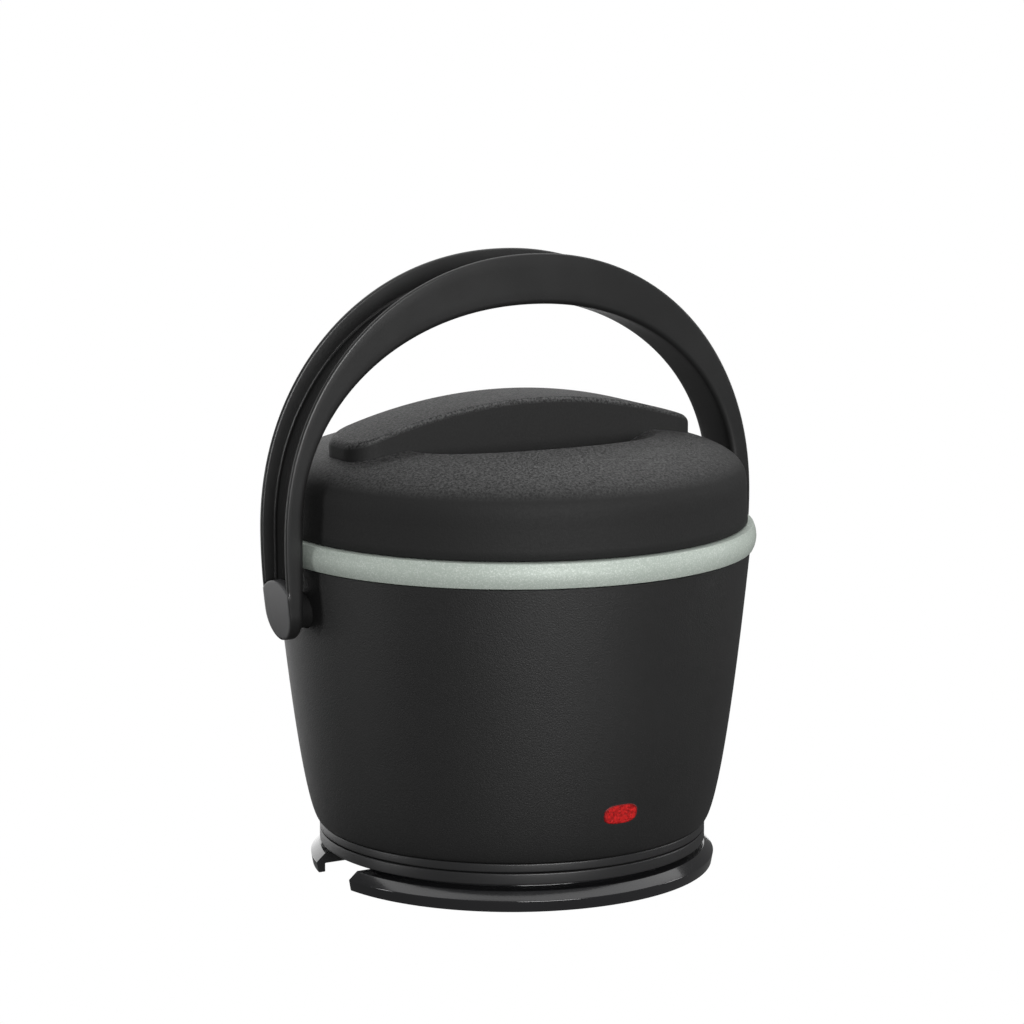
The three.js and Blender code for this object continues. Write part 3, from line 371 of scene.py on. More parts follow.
bored(
    base_ring,
    box_mesh(
        (-0.1, slot_middle - slot_half, -0.01),
        (slot_inner_end, slot_middle + slot_half, 0.03),
    ),
)


# ---- Under the base and its contacts ----
# A closing plate with three screws, four rubber feet, and a black carrier that stands up
# through the plateau with three brass contact pins. The cord's flat gland ends the slot.


def dress(material, *nodes):
    """Gives CAD nodes that stay in view their material."""
    for name in nodes:
        data = frame["nodes"][name].data
        data.materials.clear()
        data.materials.append(material)


def satin_black():
    """Injection-moulded black polypropylene: an even satin with a very fine grain."""
    finish = Finish("satin_black", IOR=1.48)
    grain = finish.noise(2600, 2)
    flow = finish.noise(30, 2)
    finish.feed(
        Base_Color=finish.blend(flow, (0.012, 0.012, 0.012), (0.019, 0.019, 0.020)),
        Roughness=0.34 + 0.12 * grain,
        Normal=finish.bump(grain, 0.00002),
    )
    return finish.material


def rubber():
    """Black moulded rubber, dull and slightly dusty."""
    finish = Finish("foot_rubber", IOR=1.45)
    dust = finish.noise(220, 5)
    finish.feed(
        Base_Color=finish.blend(dust, (0.012, 0.012, 0.012), (0.045, 0.044, 0.042)),
        Roughness=0.7 + 0.2 * dust,
        Normal=finish.bump(dust, 0.00006),
    )
    return finish.material


def metal(name, colour, dull, rough, stretch):
    """Plain metal with fine drawn lines; stretch is how much longer they run than wide."""
    finish = Finish(name, Metallic=1.0)
    scales = {"Vector": finish.place(), "Scale": (1.0, 1.0, stretch)}
    lines = finish.noise(900, 3, finish.node("Mapping", scales))
    tarnish = finish.noise(60, 3)
    finish.feed(
        Base_Color=finish.blend(tarnish, colour, dull),
        Roughness=rough + 0.12 * lines,
        Normal=finish.bump(lines, 0.00002),
    )
    return finish.material


SATIN_BLACK = satin_black()
RUBBER = rubber()
STEEL = metal("zinc_steel", (0.62, 0.63, 0.65), (0.50, 0.50, 0.50), 0.26, 4.0)
BRASS = metal("brass", (0.74, 0.56, 0.24), (0.58, 0.42, 0.18), 0.24, 4.0)
dress(SATIN_BLACK, "base_plate", "contact_carrier")
dress(STEEL, "base_screw_1", "base_screw_2", "base_screw_3")
dress(BRASS, "contact_pin_1", "contact_pin_2", "contact_pin_3")
dress(RUBBER, "cord_gland", "base_foot_1", "base_foot_2", "base_foot_3", "base_foot_4")


# ---- Collars ----
# The cup stands on a screwed-on bottom cover whose rim is the lower black collar. A second
# ring above it closes the joint with the shell, with a shadow groove on each side.

cover_low, cover_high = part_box("bottom_cover")
cover_rim_top = cover_low.z + 0.004
cover_wall = 0.0022
recess_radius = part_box("contact_carrier")[1].x + 0.0025
recess_top = cover_low.z + 0.0098
socket_bore = 0.0122
cover_profile = fillet(
    [
        (recess_radius, cover_low.z),
        (collar_radius, cover_low.z),
        (collar_radius, cover_rim_top),
        (collar_radius - 0.0027, cover_rim_top),
        (collar_radius - 0.0027, cover_low.z + cover_wall),
        (recess_radius + cover_wall, cover_low.z + cover_wall),
        (recess_radius + cover_wall, cover_high.z),
        (socket_bore, cover_high.z),
        (socket_bore, recess_top),
        (recess_radius, recess_top),
    ],
    [0.0006, 0.0005, 0.0005] + 7 * [0.0003],
)
bottom_cover = piece(
    "bottom_cover_skin",
    turned("bottom_cover_skin", cover_profile, 256),
    "cup",
    SATIN_BLACK,
    replaces=["bottom_cover"],
)


def upright_bar(name, radius, low, high, x=0.0, y=0.0, sides=40):
    """A closed round bar between two heights."""
    profile = np.array([(0, low), (radius, low), (radius, high), (0, high)])
    mesh = turned(name, profile, sides)
    mesh.transform(Matrix.Translation((x, y, 0)))
    return mesh


for number in (1, 2, 3):
    screw_low, screw_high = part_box(f"cover_screw_{number}")
    middle = (screw_low + screw_high) / 2
    well = upright_bar("head_well", 0.0031, 0, screw_low.z + 0.0013, middle.x, middle.y)
    bored(bottom_cover, well)

ring_low, ring_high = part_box("collar_ring")
ring_corners = [
    (collar_radius - 0.0042, ring_low.z),
    (collar_radius, ring_low.z),
    (collar_radius, ring_high.z),
    (collar_radius - 0.0042, ring_high.z),
]
piece(
    "collar_ring_skin",
    turned("collar_ring_skin", fillet(ring_corners, 0.0005), 256),
    "cup",
    SATIN_BLACK,
    replaces=["collar_ring"],
)
dress(STEEL, "cover_screw_1", "cover_screw_2", "cover_screw_3")


# ---- Outer shell ----
# One tapered black moulding, 2.4 mm thick, rounded in at its foot, with a fine spark
# texture outside. A short boss on each side carries the handle's pivot.


def textured_black():
    """Spark-textured black polypropylene: fine pits that scatter the light, a little uneven."""
    finish = Finish("textured_black", IOR=1.49)
    pits = finish.noise(1900, 2)
    fine = finish.noise(3100, 2)
    cloud = finish.noise(24, 3)
    grain = 0.65 * pits + 0.35 * fine
    finish.feed(
        Base_Color=finish.blend(cloud * pits, (0.006, 0.006, 0.006), (0.014, 0.014, 0.014)),
        Roughness=0.38 + 0.28 * grain,
        Normal=finish.bump(grain, 0.00015),
    )
    return finish.material


TEXTURED_BLACK = textured_black()
shell_low, shell_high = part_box("outer_shell")
mouth_radius = shell_high.y
shell_foot_radius = collar_radius + 0.0002
shell_height = shell_high.z - shell_low.z
shell_wall = 0.0024
shell_curve = 0.61


def shell_radius(height):
    """The foot's radius plus the flare times the share of the height to the curve's power."""
    share = np.clip((height - shell_low.z) / shell_height, 0, 1)
    return shell_foot_radius + (mouth_radius - shell_foot_radius) * share**shell_curve


rise = shell_low.z + shell_height * np.linspace(0, 1, 90) ** 2.2
outside = np.stack([shell_radius(rise), rise], 1)
lining = outside[::-1] - (shell_wall, 0)
lining = lining[lining[:, 1] > shell_low.z + shell_wall + 0.001]
shell_floor = np.array([(0.046, shell_low.z + shell_wall), (0.046, shell_low.z)])
piece(
    "outer_shell_skin",
    turned("outer_shell_skin", np.vstack([outside, lining, shell_floor]), 320),
    "cup",
    TEXTURED_BLACK,
    crease=50,
    replaces=["outer_shell"],
)


def lying_bar(name, profile, side, height, sides=96):
    """A loop of (radius, distance out) points turned about the handle's pivot line."""
    turn = np.linspace(0, 2 * np.pi, sides, endpoint=False)
    radius, out = profile[:, 0, None], profile[:, 1, None]
    points = np.stack(
        [side * (out + 0 * turn), radius * np.cos(turn), height + radius * np.sin(turn)], -1
    )
    return grid_mesh(name, points)


def bearing_black():
    """Dead matt black nylon, its colour darkened as painted shade for the arm's shadow on the boss,
    rubbed a little where the arm turns on it.
    """
    finish = Finish("bearing_black", IOR=1.25)
    rub = finish.noise(300, 3)
    finish.feed(
        # Painted shade: the colour is kept near black because the arm shades the boss.
        Base_Color=finish.blend(rub, (0.002, 0.002, 0.002), (0.006, 0.006, 0.006)),
        Roughness=0.75 + 0.15 * rub,
        Normal=finish.bump(rub, 0.00002),
    )
    return finish.material


BOSS_PAINTED_SHADE_BLACK = bearing_black()
pivot_height = next(j for j in frame["joints"] if j["name"] == "handle_swing")["pos_m"][2]
boss_radius = 0.0062
boss_face = shell_high.x
boss_profile = np.array([(0.0029, boss_face), (boss_radius - 0.0006, boss_face)])
root = shell_radius(pivot_height)
spread = np.linspace(0, np.pi / 2, 8)
neck = np.stack(
    [boss_radius + 0.0012 * (1 - np.cos(spread)), root + 0.0012 - 0.0026 * np.sin(spread)], 1
)
boss_loop = np.vstack(
    [boss_profile, [(boss_radius, boss_face - 0.0006)], neck, [(0.0029, root - 0.0014)]]
)
# The bosses wear painted shade: their colour stands in for the arm's shadow.
for side, word in ((-1, "left"), (1, "right")):
    piece(
        f"pivot_boss_{word}",
        lying_bar(f"pivot_boss_{word}", boss_loop, side, pivot_height),
        "cup",
        BOSS_PAINTED_SHADE_BLACK,
    )


# ---- Trim band ----
# A convex sage-green ring snapped into the shell's mouth. Its paint-like colour has a fine
# metal fleck, and its flat top ledge shows as a pale line round the lid.


def sage_fleck():
    """Sage-green plastic with fine bright and dark metal flecks."""
    finish = Finish("sage_fleck", IOR=1.5, Specular_IOR_Level=0.55)
    cells = {"Vector": finish.place(), "Scale": 2900.0}
    fleck = finish.node("TexVoronoi", cells, output="Color")
    spark = finish.node("SeparateColor", {0: fleck})
    bright = 0.6 * spark**3
    drift = finish.noise(35, 2)
    tint = finish.blend(drift, (0.335, 0.381, 0.340), (0.370, 0.419, 0.375))
    lit = finish.node(
        "Mix", {0: bright, 6: tint, 7: (0.62, 0.66, 0.62, 1)}, output=2, data_type="RGBA"
    )
    finish.feed(
        Base_Color=lit,
        Metallic=0.10 + 0.3 * bright,
        Roughness=0.50 + 0.12 * drift,
        Normal=finish.bump(finish.noise(3000, 2), 0.00003),
    )
    return finish.material


SAGE = sage_fleck()
band_low, band_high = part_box("trim_band")
band_wide = band_high.y
band_edge = band_wide - 0.0012
band_foot = shell_high.z + 0.0003
band_mid = (band_foot + band_high.z) / 2
swell = np.linspace(-1, 1, 28)
bulge_height = band_mid + swell * (band_high.z - band_foot) / 2
bulge_radius = band_edge + (band_wide - band_edge) * (1 - swell**2)
bore_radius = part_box("heating_well")[1].x + 0.0003
ledge_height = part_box("heating_well")[1].z - 0.0015
sleeve_radius = bore_radius + 0.001
soft_edge = np.linspace(0, np.pi / 2, 6)[1:]
top_edge = np.stack(
    [bulge_radius[-3] - 0.0006 * (1 - np.cos(soft_edge)), bulge_height[-3] + 0 * soft_edge], 1
)
top_edge[:, 1] += (band_high.z - bulge_height[-3]) * np.sin(soft_edge)
band_profile = np.vstack(
    [
        [(sleeve_radius - 0.002, band_low.z), (sleeve_radius, band_low.z)],
        [(sleeve_radius, band_foot), (band_edge - 0.0006, band_foot)],
        np.stack([bulge_radius[1:-2], bulge_height[1:-2]], 1),
        top_edge,
        [(bore_radius, band_high.z), (bore_radius, ledge_height)],
        [(bore_radius - 0.0072, ledge_height), (bore_radius - 0.0072, ledge_height - 0.002)],
        [(sleeve_radius - 0.002, ledge_height - 0.002)],
    ]
)
piece(
    "trim_band_skin",
    turned("trim_band_skin", band_profile, 320),
    "cup",
    SAGE,
    crease=38,
    replaces=["trim_band"],
)


# ---- Heater and well ----
# A spun aluminium well hangs from the band's ledge in a glass-fibre blanket. Under it sit
# the heat plate, the sheathed element, the thermostat and fuse, and the strap that clamps
# them, with silicone leads down to the socket.


def blanket():
    """Cream glass-fibre felt with loose fibres."""
    finish = Finish("blanket", Sheen_Weight=0.3)
    fibre = finish.noise(900, 8)
    clump = finish.noise(120, 3)
    finish.feed(
        Base_Color=finish.blend(fibre, (0.62, 0.56, 0.42), (0.82, 0.78, 0.66)),
        Roughness=0.85 + 0.1 * clump,
        Normal=finish.bump(0.6 * fibre + 0.4 * clump, 0.0008),
    )
    return finish.material


def pale_plastic():
    """Heat-resistant pale grey plastic with a faint flow pattern."""
    finish = Finish("pale_plastic", IOR=1.5)
    flow = finish.noise(50, 3)
    finish.feed(
        Base_Color=finish.blend(flow, (0.47, 0.47, 0.45), (0.56, 0.56, 0.54)),
        Roughness=0.38 + 0.15 * flow,
        Normal=finish.bump(finish.noise(1800, 2), 0.00002),
    )
    return finish.material


def silicone(name, dark, light):
    """Soft silicone, dull with a slight bloom."""
    finish = Finish(name, IOR=1.41)
    bloom = finish.noise(160, 4)
    finish.feed(
        Base_Color=finish.blend(bloom, dark, light),
        Roughness=0.55 + 0.2 * bloom,
        Normal=finish.bump(bloom, 0.00003),
    )
    return finish.material


ALUMINIUM = metal("aluminium", (0.78, 0.79, 0.80), (0.68, 0.69, 0.70), 0.28, 14.0)
PALE_PLASTIC = pale_plastic()
GREY_SILICONE = silicone("grey_silicone", (0.22, 0.23, 0.23), (0.33, 0.34, 0.34))
RED_SILICONE = silicone("red_silicone", (0.24, 0.020, 0.014), (0.36, 0.035, 0.024))
dress(ALUMINIUM, "heating_well", "heat_plate")
dress(blanket(), "insulation_sleeve")
dress(STEEL, "heater_element", "clamp_strap", "strap_screw_1", "strap_screw_2")
dress(SATIN_BLACK, "thermostat", "cooker_socket")
dress(PALE_PLASTIC, "thermal_fuse", "lamp_holder")
dress(RED_SILICONE, "heater_lead_1", "heater_lead_2", "lamp_lead_1", "lamp_lead_2")


# ---- Pilot light ----
# A small red acrylic lens snapped into the shell's window, speckled by the diffusing
# pattern inside it, with a neon lamp behind in its holder.


def red_acrylic():
    """Translucent red acrylic: the diffuser's speckle shows through, and the rim is painted darker
    as painted shade.

    The rim is where |x / a|^p + |z / b|^p, which is 1 on the outline, comes near to 1."""
    finish = Finish("red_acrylic", IOR=1.45, Specular_IOR_Level=0.35)
    cells = {"Vector": finish.place(), "Scale": 1500.0}
    cell = finish.node("TexVoronoi", cells, output="Color")
    speckle = finish.node("SeparateColor", {0: cell})
    across = finish.node("SeparateXYZ", {0: finish.place()}, output="X") * (1 / lens_half[0])
    height = finish.node("SeparateXYZ", {0: finish.place()}, output="Z") - lens_height
    up = height * (1 / lens_half[1])
    outline = (across**2) ** (lens_power / 2) + (up**2) ** (lens_power / 2)
    clear_of_rim_shade = finish.node("MapRange", {"Value": outline, "From Min": 1.0, "From Max": 0.6})
    # Painted shade: the colour falls to a tenth of its strength towards the lens's outline.
    share = (0.35 + 0.65 * speckle) * (0.1 + 0.9 * clear_of_rim_shade)
    finish.feed(
        Base_Color=finish.blend(share, (0.02, 0.001, 0.001), (0.56, 0.012, 0.012)),
        Roughness=0.42 + 0.12 * speckle,
        Normal=finish.bump(speckle, 0.00008),
    )
    return finish.material


def lamp_glass():
    """Clear lamp glass with a faint amber cast."""
    finish = Finish("lamp_glass", Transmission_Weight=0.8, IOR=1.47)
    film = finish.noise(300, 2)
    finish.feed(
        Base_Color=finish.blend(film, (0.95, 0.78, 0.55), (1.0, 0.88, 0.70)),
        Roughness=0.04 + 0.05 * film,
    )
    return finish.material


def patch(radius_at, rings, height_at, back, angles=96):
    """A closed button seen from the front: rings from its middle to its outline, then back.

    radius_at gives the outline's distance for an angle, height_at how far the front stands
    forward for a place and its distance from the outline, and back where the rear lies.
    The result is an array of (across, up, out) points."""
    turn = np.linspace(0, 2 * np.pi, angles, endpoint=False)[None, :]
    share = np.sin(np.linspace(0, np.pi / 2, rings))[:, None]
    reach = radius_at(turn)
    across, up = share * reach * np.cos(turn), share * reach * np.sin(turn)
    out = height_at(across, up, (1 - share) * reach)
    front = np.stack([across, up, out], -1)
    rear = front[::-1].copy()
    rear[..., 2] = back
    return np.vstack([front, rear])


lens_low, lens_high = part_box("lamp_lens")
lens_height = (lens_low.z + lens_high.z) / 2
lens_half = np.array([0.0067, 0.0036])
lens_power = 2.8


def lens_outline(turn):
    """A superellipse: the distance at which |x / a|^p + |y / b|^p is 1."""
    across = np.abs(np.cos(turn) / lens_half[0]) ** lens_power
    up = np.abs(np.sin(turn) / lens_half[1]) ** lens_power
    return (across + up) ** (-1 / lens_power)


def lens_front(across, up, inward):
    """The shell's surface, 0.25 mm proud, rounded off over the last 0.5 mm."""
    radius = shell_radius(lens_height + up)
    edge = np.clip(inward / 0.0005, 0, 1)
    return np.sqrt(radius**2 - across**2) + 0.00025 - 0.0004 * (1 - np.sqrt(1 - (1 - edge) ** 2))


def rim_front(across, up, inward):
    """The dark seat round the lens, a hair proud of the shell."""
    return np.sqrt(shell_radius(lens_height + up) ** 2 - across**2) + 0.00004 + 0 * inward


def face_front(points, height):
    """Places (across, up, out) points on the cup's front."""
    return np.stack([points[..., 0], -points[..., 2], height + points[..., 1]], -1)


lens_back = shell_radius(lens_height) - 0.0022
lens_points = patch(lens_outline, 14, lens_front, lens_back)
piece(
    "lamp_lens_skin",
    grid_mesh("lamp_lens_skin", face_front(lens_points, lens_height), (False, True)),
    "cup",
    red_acrylic(),
    replaces=["lamp_lens"],
)
seat_points = patch(
    lambda turn: lens_outline(turn) + 0.0004, 6, rim_front, lens_back + 0.0004
)
piece(
    "lamp_seat",
    grid_mesh("lamp_seat", face_front(seat_points, lens_height), (False, True)),
    "cup",
    SATIN_BLACK,
)
dress(lamp_glass(), "neon_lamp")


# ---- Carry handle ----
# One black bail, a channel open to the outside with rounded flanges and soft inner edges.
# Its straight arms end in half rounds on the pivots, each covered by a flush charcoal cap.

dress(STEEL, "pivot_pin_left", "pivot_pin_right")
dress(BRASS, "pivot_insert_left", "pivot_insert_right")

bail_low, bail_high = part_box("handle_bail")
arch_wide = bail_high.x
arch_top = bail_high.z
arm_thickness = 0.0071
arm_inside = arch_wide - arm_thickness
wide_height = pivot_height + 0.0258
taper_height = 0.142
spring_height = pivot_height + 0.0308
under_top = arch_top - 0.0178
channel_in = arch_wide - 0.0054
channel_top = arch_top - 0.0075
end_half = pivot_height - bail_low.z
top_half = bail_high.y
flange_wall = 0.0017
face_corner = 0.0020
channel_root = 0.0009
arch_power = 2.09
cap_arc = 0.0142
cap_middle = pivot_height + 0.0112 - cap_arc
cap_bed = arm_inside + 0.003


def arch_face(foot_x, half_width, base, top, angles, heights):
    """A face of the arch: its arm at each height, then its curve over at each angle.

    The curve is |x / a|^n + |z / b|^n = 1 over its base, met by rays from the widest
    point's height. foot_x gives the arm's distance out for a height."""
    dense = np.linspace(0, np.pi / 2, 1200)
    x = half_width * np.cos(dense) ** (2 / arch_power)
    z = base + (top - base) * np.sin(dense) ** (2 / arch_power)
    x[-1] = 0
    if base > wide_height:
        x, z = np.append(half_width, x), np.append(wide_height, z)
    bearing = np.arctan2(z - wide_height, x)
    over = np.stack([np.interp(angles, bearing, x), np.interp(angles, bearing, z)], 1)
    arm = np.stack([foot_x(heights), heights], 1)
    right = np.vstack([arm, over])
    left = right[-2::-1] * (-1, 1)
    return np.vstack([right, left])


def outer_arm(height):
    """An ellipse that turns in slowly below the widest point."""
    return arch_wide * np.sqrt(1 - ((wide_height - height) / taper_height) ** 2)


def bail_half(height):
    """Half the bail's width: straight flanks that taper down to a half-round end."""
    share = (height - pivot_height) / (arch_top - pivot_height)
    flank = end_half + (top_half - end_half) * share
    round_end = np.sqrt(np.clip(end_half**2 - (pivot_height - height) ** 2, 0, None))
    return np.where(height < pivot_height, round_end, flank)


end_turn = np.linspace(0, np.pi / 2, 18)
round_heights = pivot_height - end_half * np.cos(end_turn)
cap_shoulder = cap_middle + np.sqrt(cap_arc**2 - 0.0098**2)
arm_heights = np.hstack(
    [
        round_heights,
        np.linspace(pivot_height, cap_shoulder - 0.0001, 6)[1:],
        np.linspace(cap_shoulder + 0.0001, wide_height, 14)[:-1],
    ]
)
ray_angles = np.linspace(0, np.pi / 2, 100)
inner_line = arch_face(
    lambda z: arm_inside + 0 * z, arm_inside, spring_height, under_top, ray_angles, arm_heights
)
outer_line = arch_face(outer_arm, arch_wide, wide_height, arch_top, ray_angles, arm_heights)
floor_line = arch_face(
    lambda z: channel_in + 0 * z, channel_in, wide_height, channel_top, ray_angles, arm_heights
)


def bail_section(depth, floor_depth, half, lip):
    """The section's outline in (across, outward): inner face, flank, flange and channel.

    Half of it is listed from the middle of the inner face to the middle of the channel's
    floor, with round corners, and mirrored. The depths, half and lip, the flanges' top
    radius, vary along the arch, so the result is stations by points by two."""
    turn = np.linspace(0, np.pi / 2, 7)
    lip_turn = np.linspace(0, np.pi, 11)
    soft = np.minimum(face_corner, 0.6 * half)[:, None]
    wall = np.minimum(flange_wall, 0.9 * half)[:, None]
    lip = np.minimum(lip[:, None], wall / 2)
    depth, floor_depth, half = depth[:, None], floor_depth[:, None], half[:, None]
    root = np.minimum(channel_root, 0.3 * (half - wall))
    face = half * np.array([0.0, 0.3, 0.6])
    corner = half - soft + soft * np.sin(turn)
    flank = half * np.ones(4)
    climb = soft + (depth - lip - soft) * np.linspace(0.2, 1, 4)
    inside = half - wall
    rim = np.where(lip_turn < np.pi / 2, half - lip, inside + lip) + lip * np.cos(lip_turn)
    hollow = inside - root + root * np.cos(turn)
    rest = (inside - root) * np.array([0.6, 0.3, 0.0])
    across = np.hstack([face, corner, flank, rim, hollow, rest])
    outward = np.hstack(
        [
            0 * face,
            soft * (1 - np.cos(turn)),
            climb,
            depth - lip + lip * np.sin(lip_turn),
            floor_depth + root * (1 - np.sin(turn)),
            floor_depth + 0 * rest,
        ]
    )
    section = np.stack([across, outward], -1)
    mirrored = section[:, -2:0:-1] * (-1, 1)
    return np.concatenate([section, mirrored], 1)


span = outer_line - inner_line
depth = np.linalg.norm(span, axis=1)
outward = span / depth[:, None]
floor_depth = np.einsum("ij,ij->i", floor_line - inner_line, outward)
middle_height = (inner_line[:, 1] + outer_line[:, 1]) / 2
lip_radius = np.where(middle_height < cap_shoulder, 0.0003, 0.00085)
section = bail_section(depth, floor_depth, bail_half(middle_height), lip_radius)
bail_points = np.stack(
    [
        inner_line[:, None, 0] + section[..., 1] * outward[:, None, 0],
        section[..., 0],
        inner_line[:, None, 1] + section[..., 1] * outward[:, None, 1],
    ],
    -1,
)


def handle_black():
    """Smooth satin black polypropylene, polished a little by hands along the flanges."""
    finish = Finish("handle_black", IOR=1.5)
    grain = finish.noise(1500, 2)
    smear = finish.noise(40, 4)
    finish.feed(
        Base_Color=finish.blend(smear, (0.007, 0.007, 0.007), (0.014, 0.014, 0.014)),
        Roughness=0.32 + 0.10 * smear + 0.05 * grain,
        Normal=finish.bump(grain, 0.000015),
    )
    return finish.material


HANDLE_BLACK = handle_black()
bail_mesh = grid_mesh("handle_bail_skin", bail_points, (False, True))
piece(
    "handle_bail_skin",
    bail_mesh,
    "handle",
    HANDLE_BLACK,
    crease=48,
    replaces=["handle_bail"],
)


def cap_charcoal():
    """Charcoal plastic caps with an even satin face and a faint drawn sheen."""
    finish = Finish("cap_charcoal", IOR=1.5)
    sheen = finish.noise(70, 2)
    grain = finish.noise(2400, 2)
    finish.feed(
        Base_Color=finish.blend(sheen, (0.045, 0.045, 0.046), (0.065, 0.065, 0.067)),
        Roughness=0.30 + 0.10 * grain,
        Normal=finish.bump(grain, 0.00002),
    )
    return finish.material


CAP_CHARCOAL = cap_charcoal()
cap_gap = 0.0004
cap_proud = 0.0001
cap_centre = pivot_height + cap_gap


def cap_outline(turn):
    """The nearest of the arm's end circle or flanks and the cap's own top arc, along a ray."""
    reach = np.linspace(0, 0.016, 1600)[:, None]
    across, up = reach * np.cos(turn), cap_centre + reach * np.sin(turn)
    inside = np.abs(across) <= bail_half(np.clip(up, bail_low.z, None)) - cap_gap
    inside &= np.hypot(across, up - cap_middle) <= cap_arc - cap_proud
    inside &= up >= bail_low.z + cap_gap
    return np.where(inside, reach, 0).max(0)[None, :]


def cap_front(across, up, inward):
    """A hair proud of the arm's outer face, rounded off over the last 0.4 mm."""
    edge = np.clip(inward / cap_gap, 0, 1)
    rounding = cap_gap * (1 - np.sqrt(1 - (1 - edge) ** 2))
    return outer_arm(cap_centre + up) + cap_proud - rounding


cap_points = patch(cap_outline, 16, cap_front, cap_bed, 144)
for side, word in ((-1, "left"), (1, "right")):
    placed = np.stack(
        [side * cap_points[..., 2], cap_points[..., 0], cap_centre + cap_points[..., 1]], -1
    )
    piece(
        f"pivot_cap_{word}_skin",
        grid_mesh(f"pivot_cap_{word}_skin", placed, (False, True)),
        "handle",
        CAP_CHARCOAL,
        crease=40,
        replaces=[f"pivot_cap_{word}"],
    )


# ---- Food container and its lid ----
# A pale plastic container hangs by its rim in the well, and a vented lid with a knob rests
# on it over a silicone seal.

dress(PALE_PLASTIC, "food_container", "container_lid", "lid_liner")
dress(GREY_SILICONE, "container_seal", "lid_seal")


# ---- Outer lid ----
# A domed black moulding. A grip bar crosses it in line with the handle's pivots, and a
# finger scoop on each side of the bar lets a hand take hold of it.

lid_low, lid_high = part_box("lid_shell")
lid_radius = lid_high.x
lid_wall = 0.0024
dome_base = lid_low.z + 0.0105
dome_height = 0.022
dome_top = dome_base + dome_height
dome_across = lid_radius - 0.0004
grip_half = lid_radius - 0.0140
grip_width = 0.028
grip_drop = 0.0125
crown_radius = (grip_half**2 + grip_drop**2) / (2 * grip_drop)
scoop_axes = np.array([0.051, 0.0305, 0.024])
scoop_height = dome_top + 0.009
scoop_offset = 0.0125


def scoop_depth(x, y):
    """The height of the scoops' floor: two ellipsoids, one each side of the grip."""
    off = (np.abs(y) - scoop_offset) / scoop_axes[1]
    room = np.clip(1 - (x / scoop_axes[0]) ** 2 - off**2, 0, None)
    return scoop_height - scoop_axes[2] * np.sqrt(room)


def softer_lower(first, second, blend):
    """The lower of two heights, with the crease between them rounded over blend."""
    share = np.clip(0.5 + 0.5 * (second - first) / blend, 0, 1)
    return second + (first - second) * share - blend * share * (1 - share)


ring_radius = np.hstack([np.linspace(0, 0.047, 120), np.linspace(0.0474, 0.066, 24)])
ring_height = dome_height * (1 - (ring_radius / dome_across) ** 2.2) ** (1 / 3.7)
shoulder = np.linspace(1, 0, 40) ** 1.3
shoulder_up = ring_height[-1] * shoulder[1:]
shoulder_out = dome_across * (1 - (shoulder_up / dome_height) ** 3.7) ** (1 / 2.2)
skirt = [(lid_radius, lid_low.z + 0.0035), (lid_radius, lid_low.z + 0.0005)]
foot = [(lid_radius - 0.0005, lid_low.z), (lid_radius - lid_wall, lid_low.z)]
under = [(lid_radius - lid_wall, dome_base + 0.0012), (0.0, dome_base + 0.0012)]
lid_profile = np.vstack(
    [
        np.stack([ring_radius, dome_base + ring_height], 1),
        np.stack([shoulder_out, dome_base + shoulder_up], 1),
        skirt + foot + under,
    ]
)
lid_turn = np.linspace(0, 2 * np.pi, 400, endpoint=False)
lid_x = lid_profile[:, :1] * np.cos(lid_turn)
lid_y = lid_profile[:, :1] * np.sin(lid_turn)
lid_z = lid_profile[:, 1:] + 0 * lid_turn
upper = lid_profile[:, 1:] > dome_base + 0.005
edge_blend = 0.0035 + 0.003 * np.clip(np.abs(lid_x) / scoop_axes[0], 0, 1) ** 2
lid_z = np.where(upper, softer_lower(lid_z, scoop_depth(lid_x, lid_y), edge_blend), lid_z)


def lid_black(name, bow, fine_and_dark_below, coarse_and_painted_lit_above):
    """Black polypropylene with a sanded grain, coarse on top and finer below. On top the colour is
    also painted pale with a speckle: the speckle follows the real grain, the paleness is painted
    light where light falls on the top.

    The change lies between two heights at the middle, which fall off by bow * x^2."""
    finish = Finish(name, IOR=1.41)
    pits = finish.noise(1150, 2)
    fine = finish.noise(2600, 2)
    grain = 0.6 * pits + 0.4 * fine
    across = finish.node("SeparateXYZ", {0: finish.place()}, output="X")
    height = finish.node("SeparateXYZ", {0: finish.place()}, output="Z")
    level = {"Value": height + bow * across**2, "From Min": fine_and_dark_below, "From Max": coarse_and_painted_lit_above}
    top = finish.node("MapRange", level)
    speck = 4.0 * grain - 1.55
    # Painted light: on top the colour rises from near black to a pale speckle, as if lit from
    # above; the wall stays near black.
    share = 0.05 + top * (speck - 0.05)
    finish.feed(
        Base_Color=finish.blend(share, (0.001, 0.001, 0.001), (0.110, 0.110, 0.110)),
        Roughness=0.60 - 0.12 * top + 0.24 * grain,
        Normal=finish.bump(grain * (0.2 + 0.8 * top), 0.0005),
    )
    return finish.material
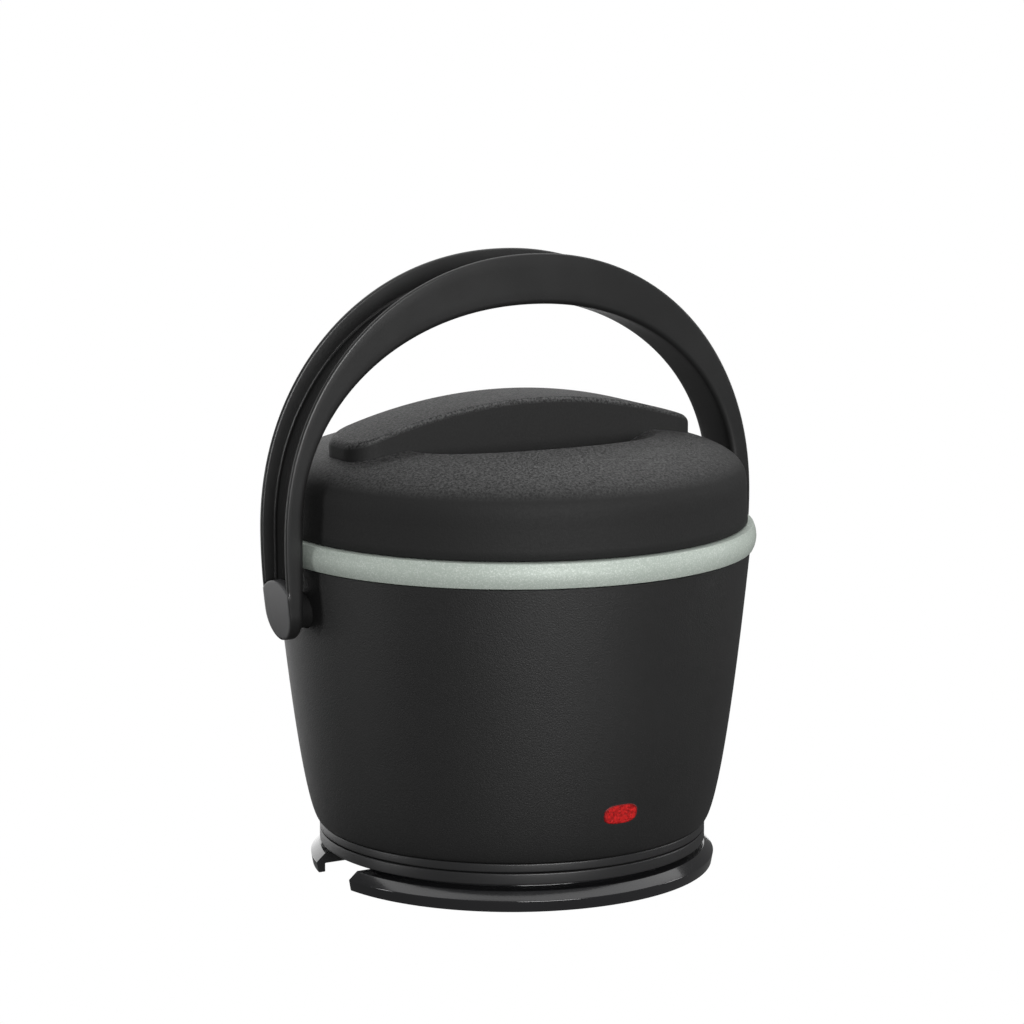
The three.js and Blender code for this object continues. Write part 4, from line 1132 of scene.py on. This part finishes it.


# The dome's top wears painted light: its colour is paler on top.
LID_BLACK_PAINTED_LIT_TOP = lid_black("lid_black", 0.0, dome_base + 0.009, dome_base + 0.018)
piece(
    "lid_dome",
    grid_mesh("lid_dome", np.stack([lid_x, lid_y, lid_z], -1), (False, True)),
    "outer_lid",
    LID_BLACK_PAINTED_LIT_TOP,
    crease=55,
    replaces=["lid_shell"],
)


def rounded_plan(half_long, half_wide, corner):
    """Points round a rectangle whose corners are quarter circles, closely set on each side."""
    turn = np.linspace(0, np.pi / 2, 20)[:, None]
    middle = np.array([half_long - corner, half_wide - corner])
    right = middle + corner * np.hstack([np.cos(turn), np.sin(turn)])
    left = right[::-1] * (-1, 1)
    long_side = np.linspace(right[-1], left[0], 110)[1:-1]
    short_side = np.linspace(left[-1], left[-1] * (1, -1), 10)[1:-1]
    half = np.vstack([right, long_side, left, short_side])
    return np.vstack([half, -half]).T


soft_turn = np.linspace(0, np.pi / 2, 8)
end_soft, side_soft = 0.0024, 0.0011
grip_base = dome_base + 0.0075
plan_corner = 0.010
ring_shares = np.hstack([np.zeros(6), 1 - np.cos(soft_turn), np.linspace(1.3, 12.6, 18)])
foot_drop = np.hstack([np.linspace(1, 0.1, 6), np.zeros(26)])
softening = np.hstack([np.ones(6), 1 - np.sin(soft_turn), np.zeros(18)])
rings = []
for share, drop, soft in zip(ring_shares, foot_drop, softening):
    inset = side_soft * share
    corner = min(plan_corner - 0.6 * inset, grip_width / 2 - inset)
    x, y = rounded_plan(grip_half - end_soft * share, grip_width / 2 - inset, corner)
    near_end = np.clip((np.abs(x) - grip_half + 0.014) / 0.011, 0, 1)
    below = soft * (side_soft + (end_soft - side_soft) * near_end**2)
    crown = lid_high.z - crown_radius + np.sqrt(crown_radius**2 - x**2) - below
    rings.append(np.stack([x, y, crown + (grip_base - crown) * drop], -1))
grip_points = np.array(rings)
closing = grip_points[-1:].copy()
closing[..., 1] = 0
under_grip = grip_points[:1].copy()
under_grip[..., 1] = 0
grip_points = np.concatenate([under_grip, grip_points, closing])


# The grip's crown wears painted light: its colour is paler along the top.
piece(
    "lid_grip",
    grid_mesh("lid_grip", grip_points, (False, True)),
    "outer_lid",
    lid_black("grip_black", 0.5 / crown_radius, lid_high.z - 0.0022, lid_high.z - 0.0004),
    crease=55,
)
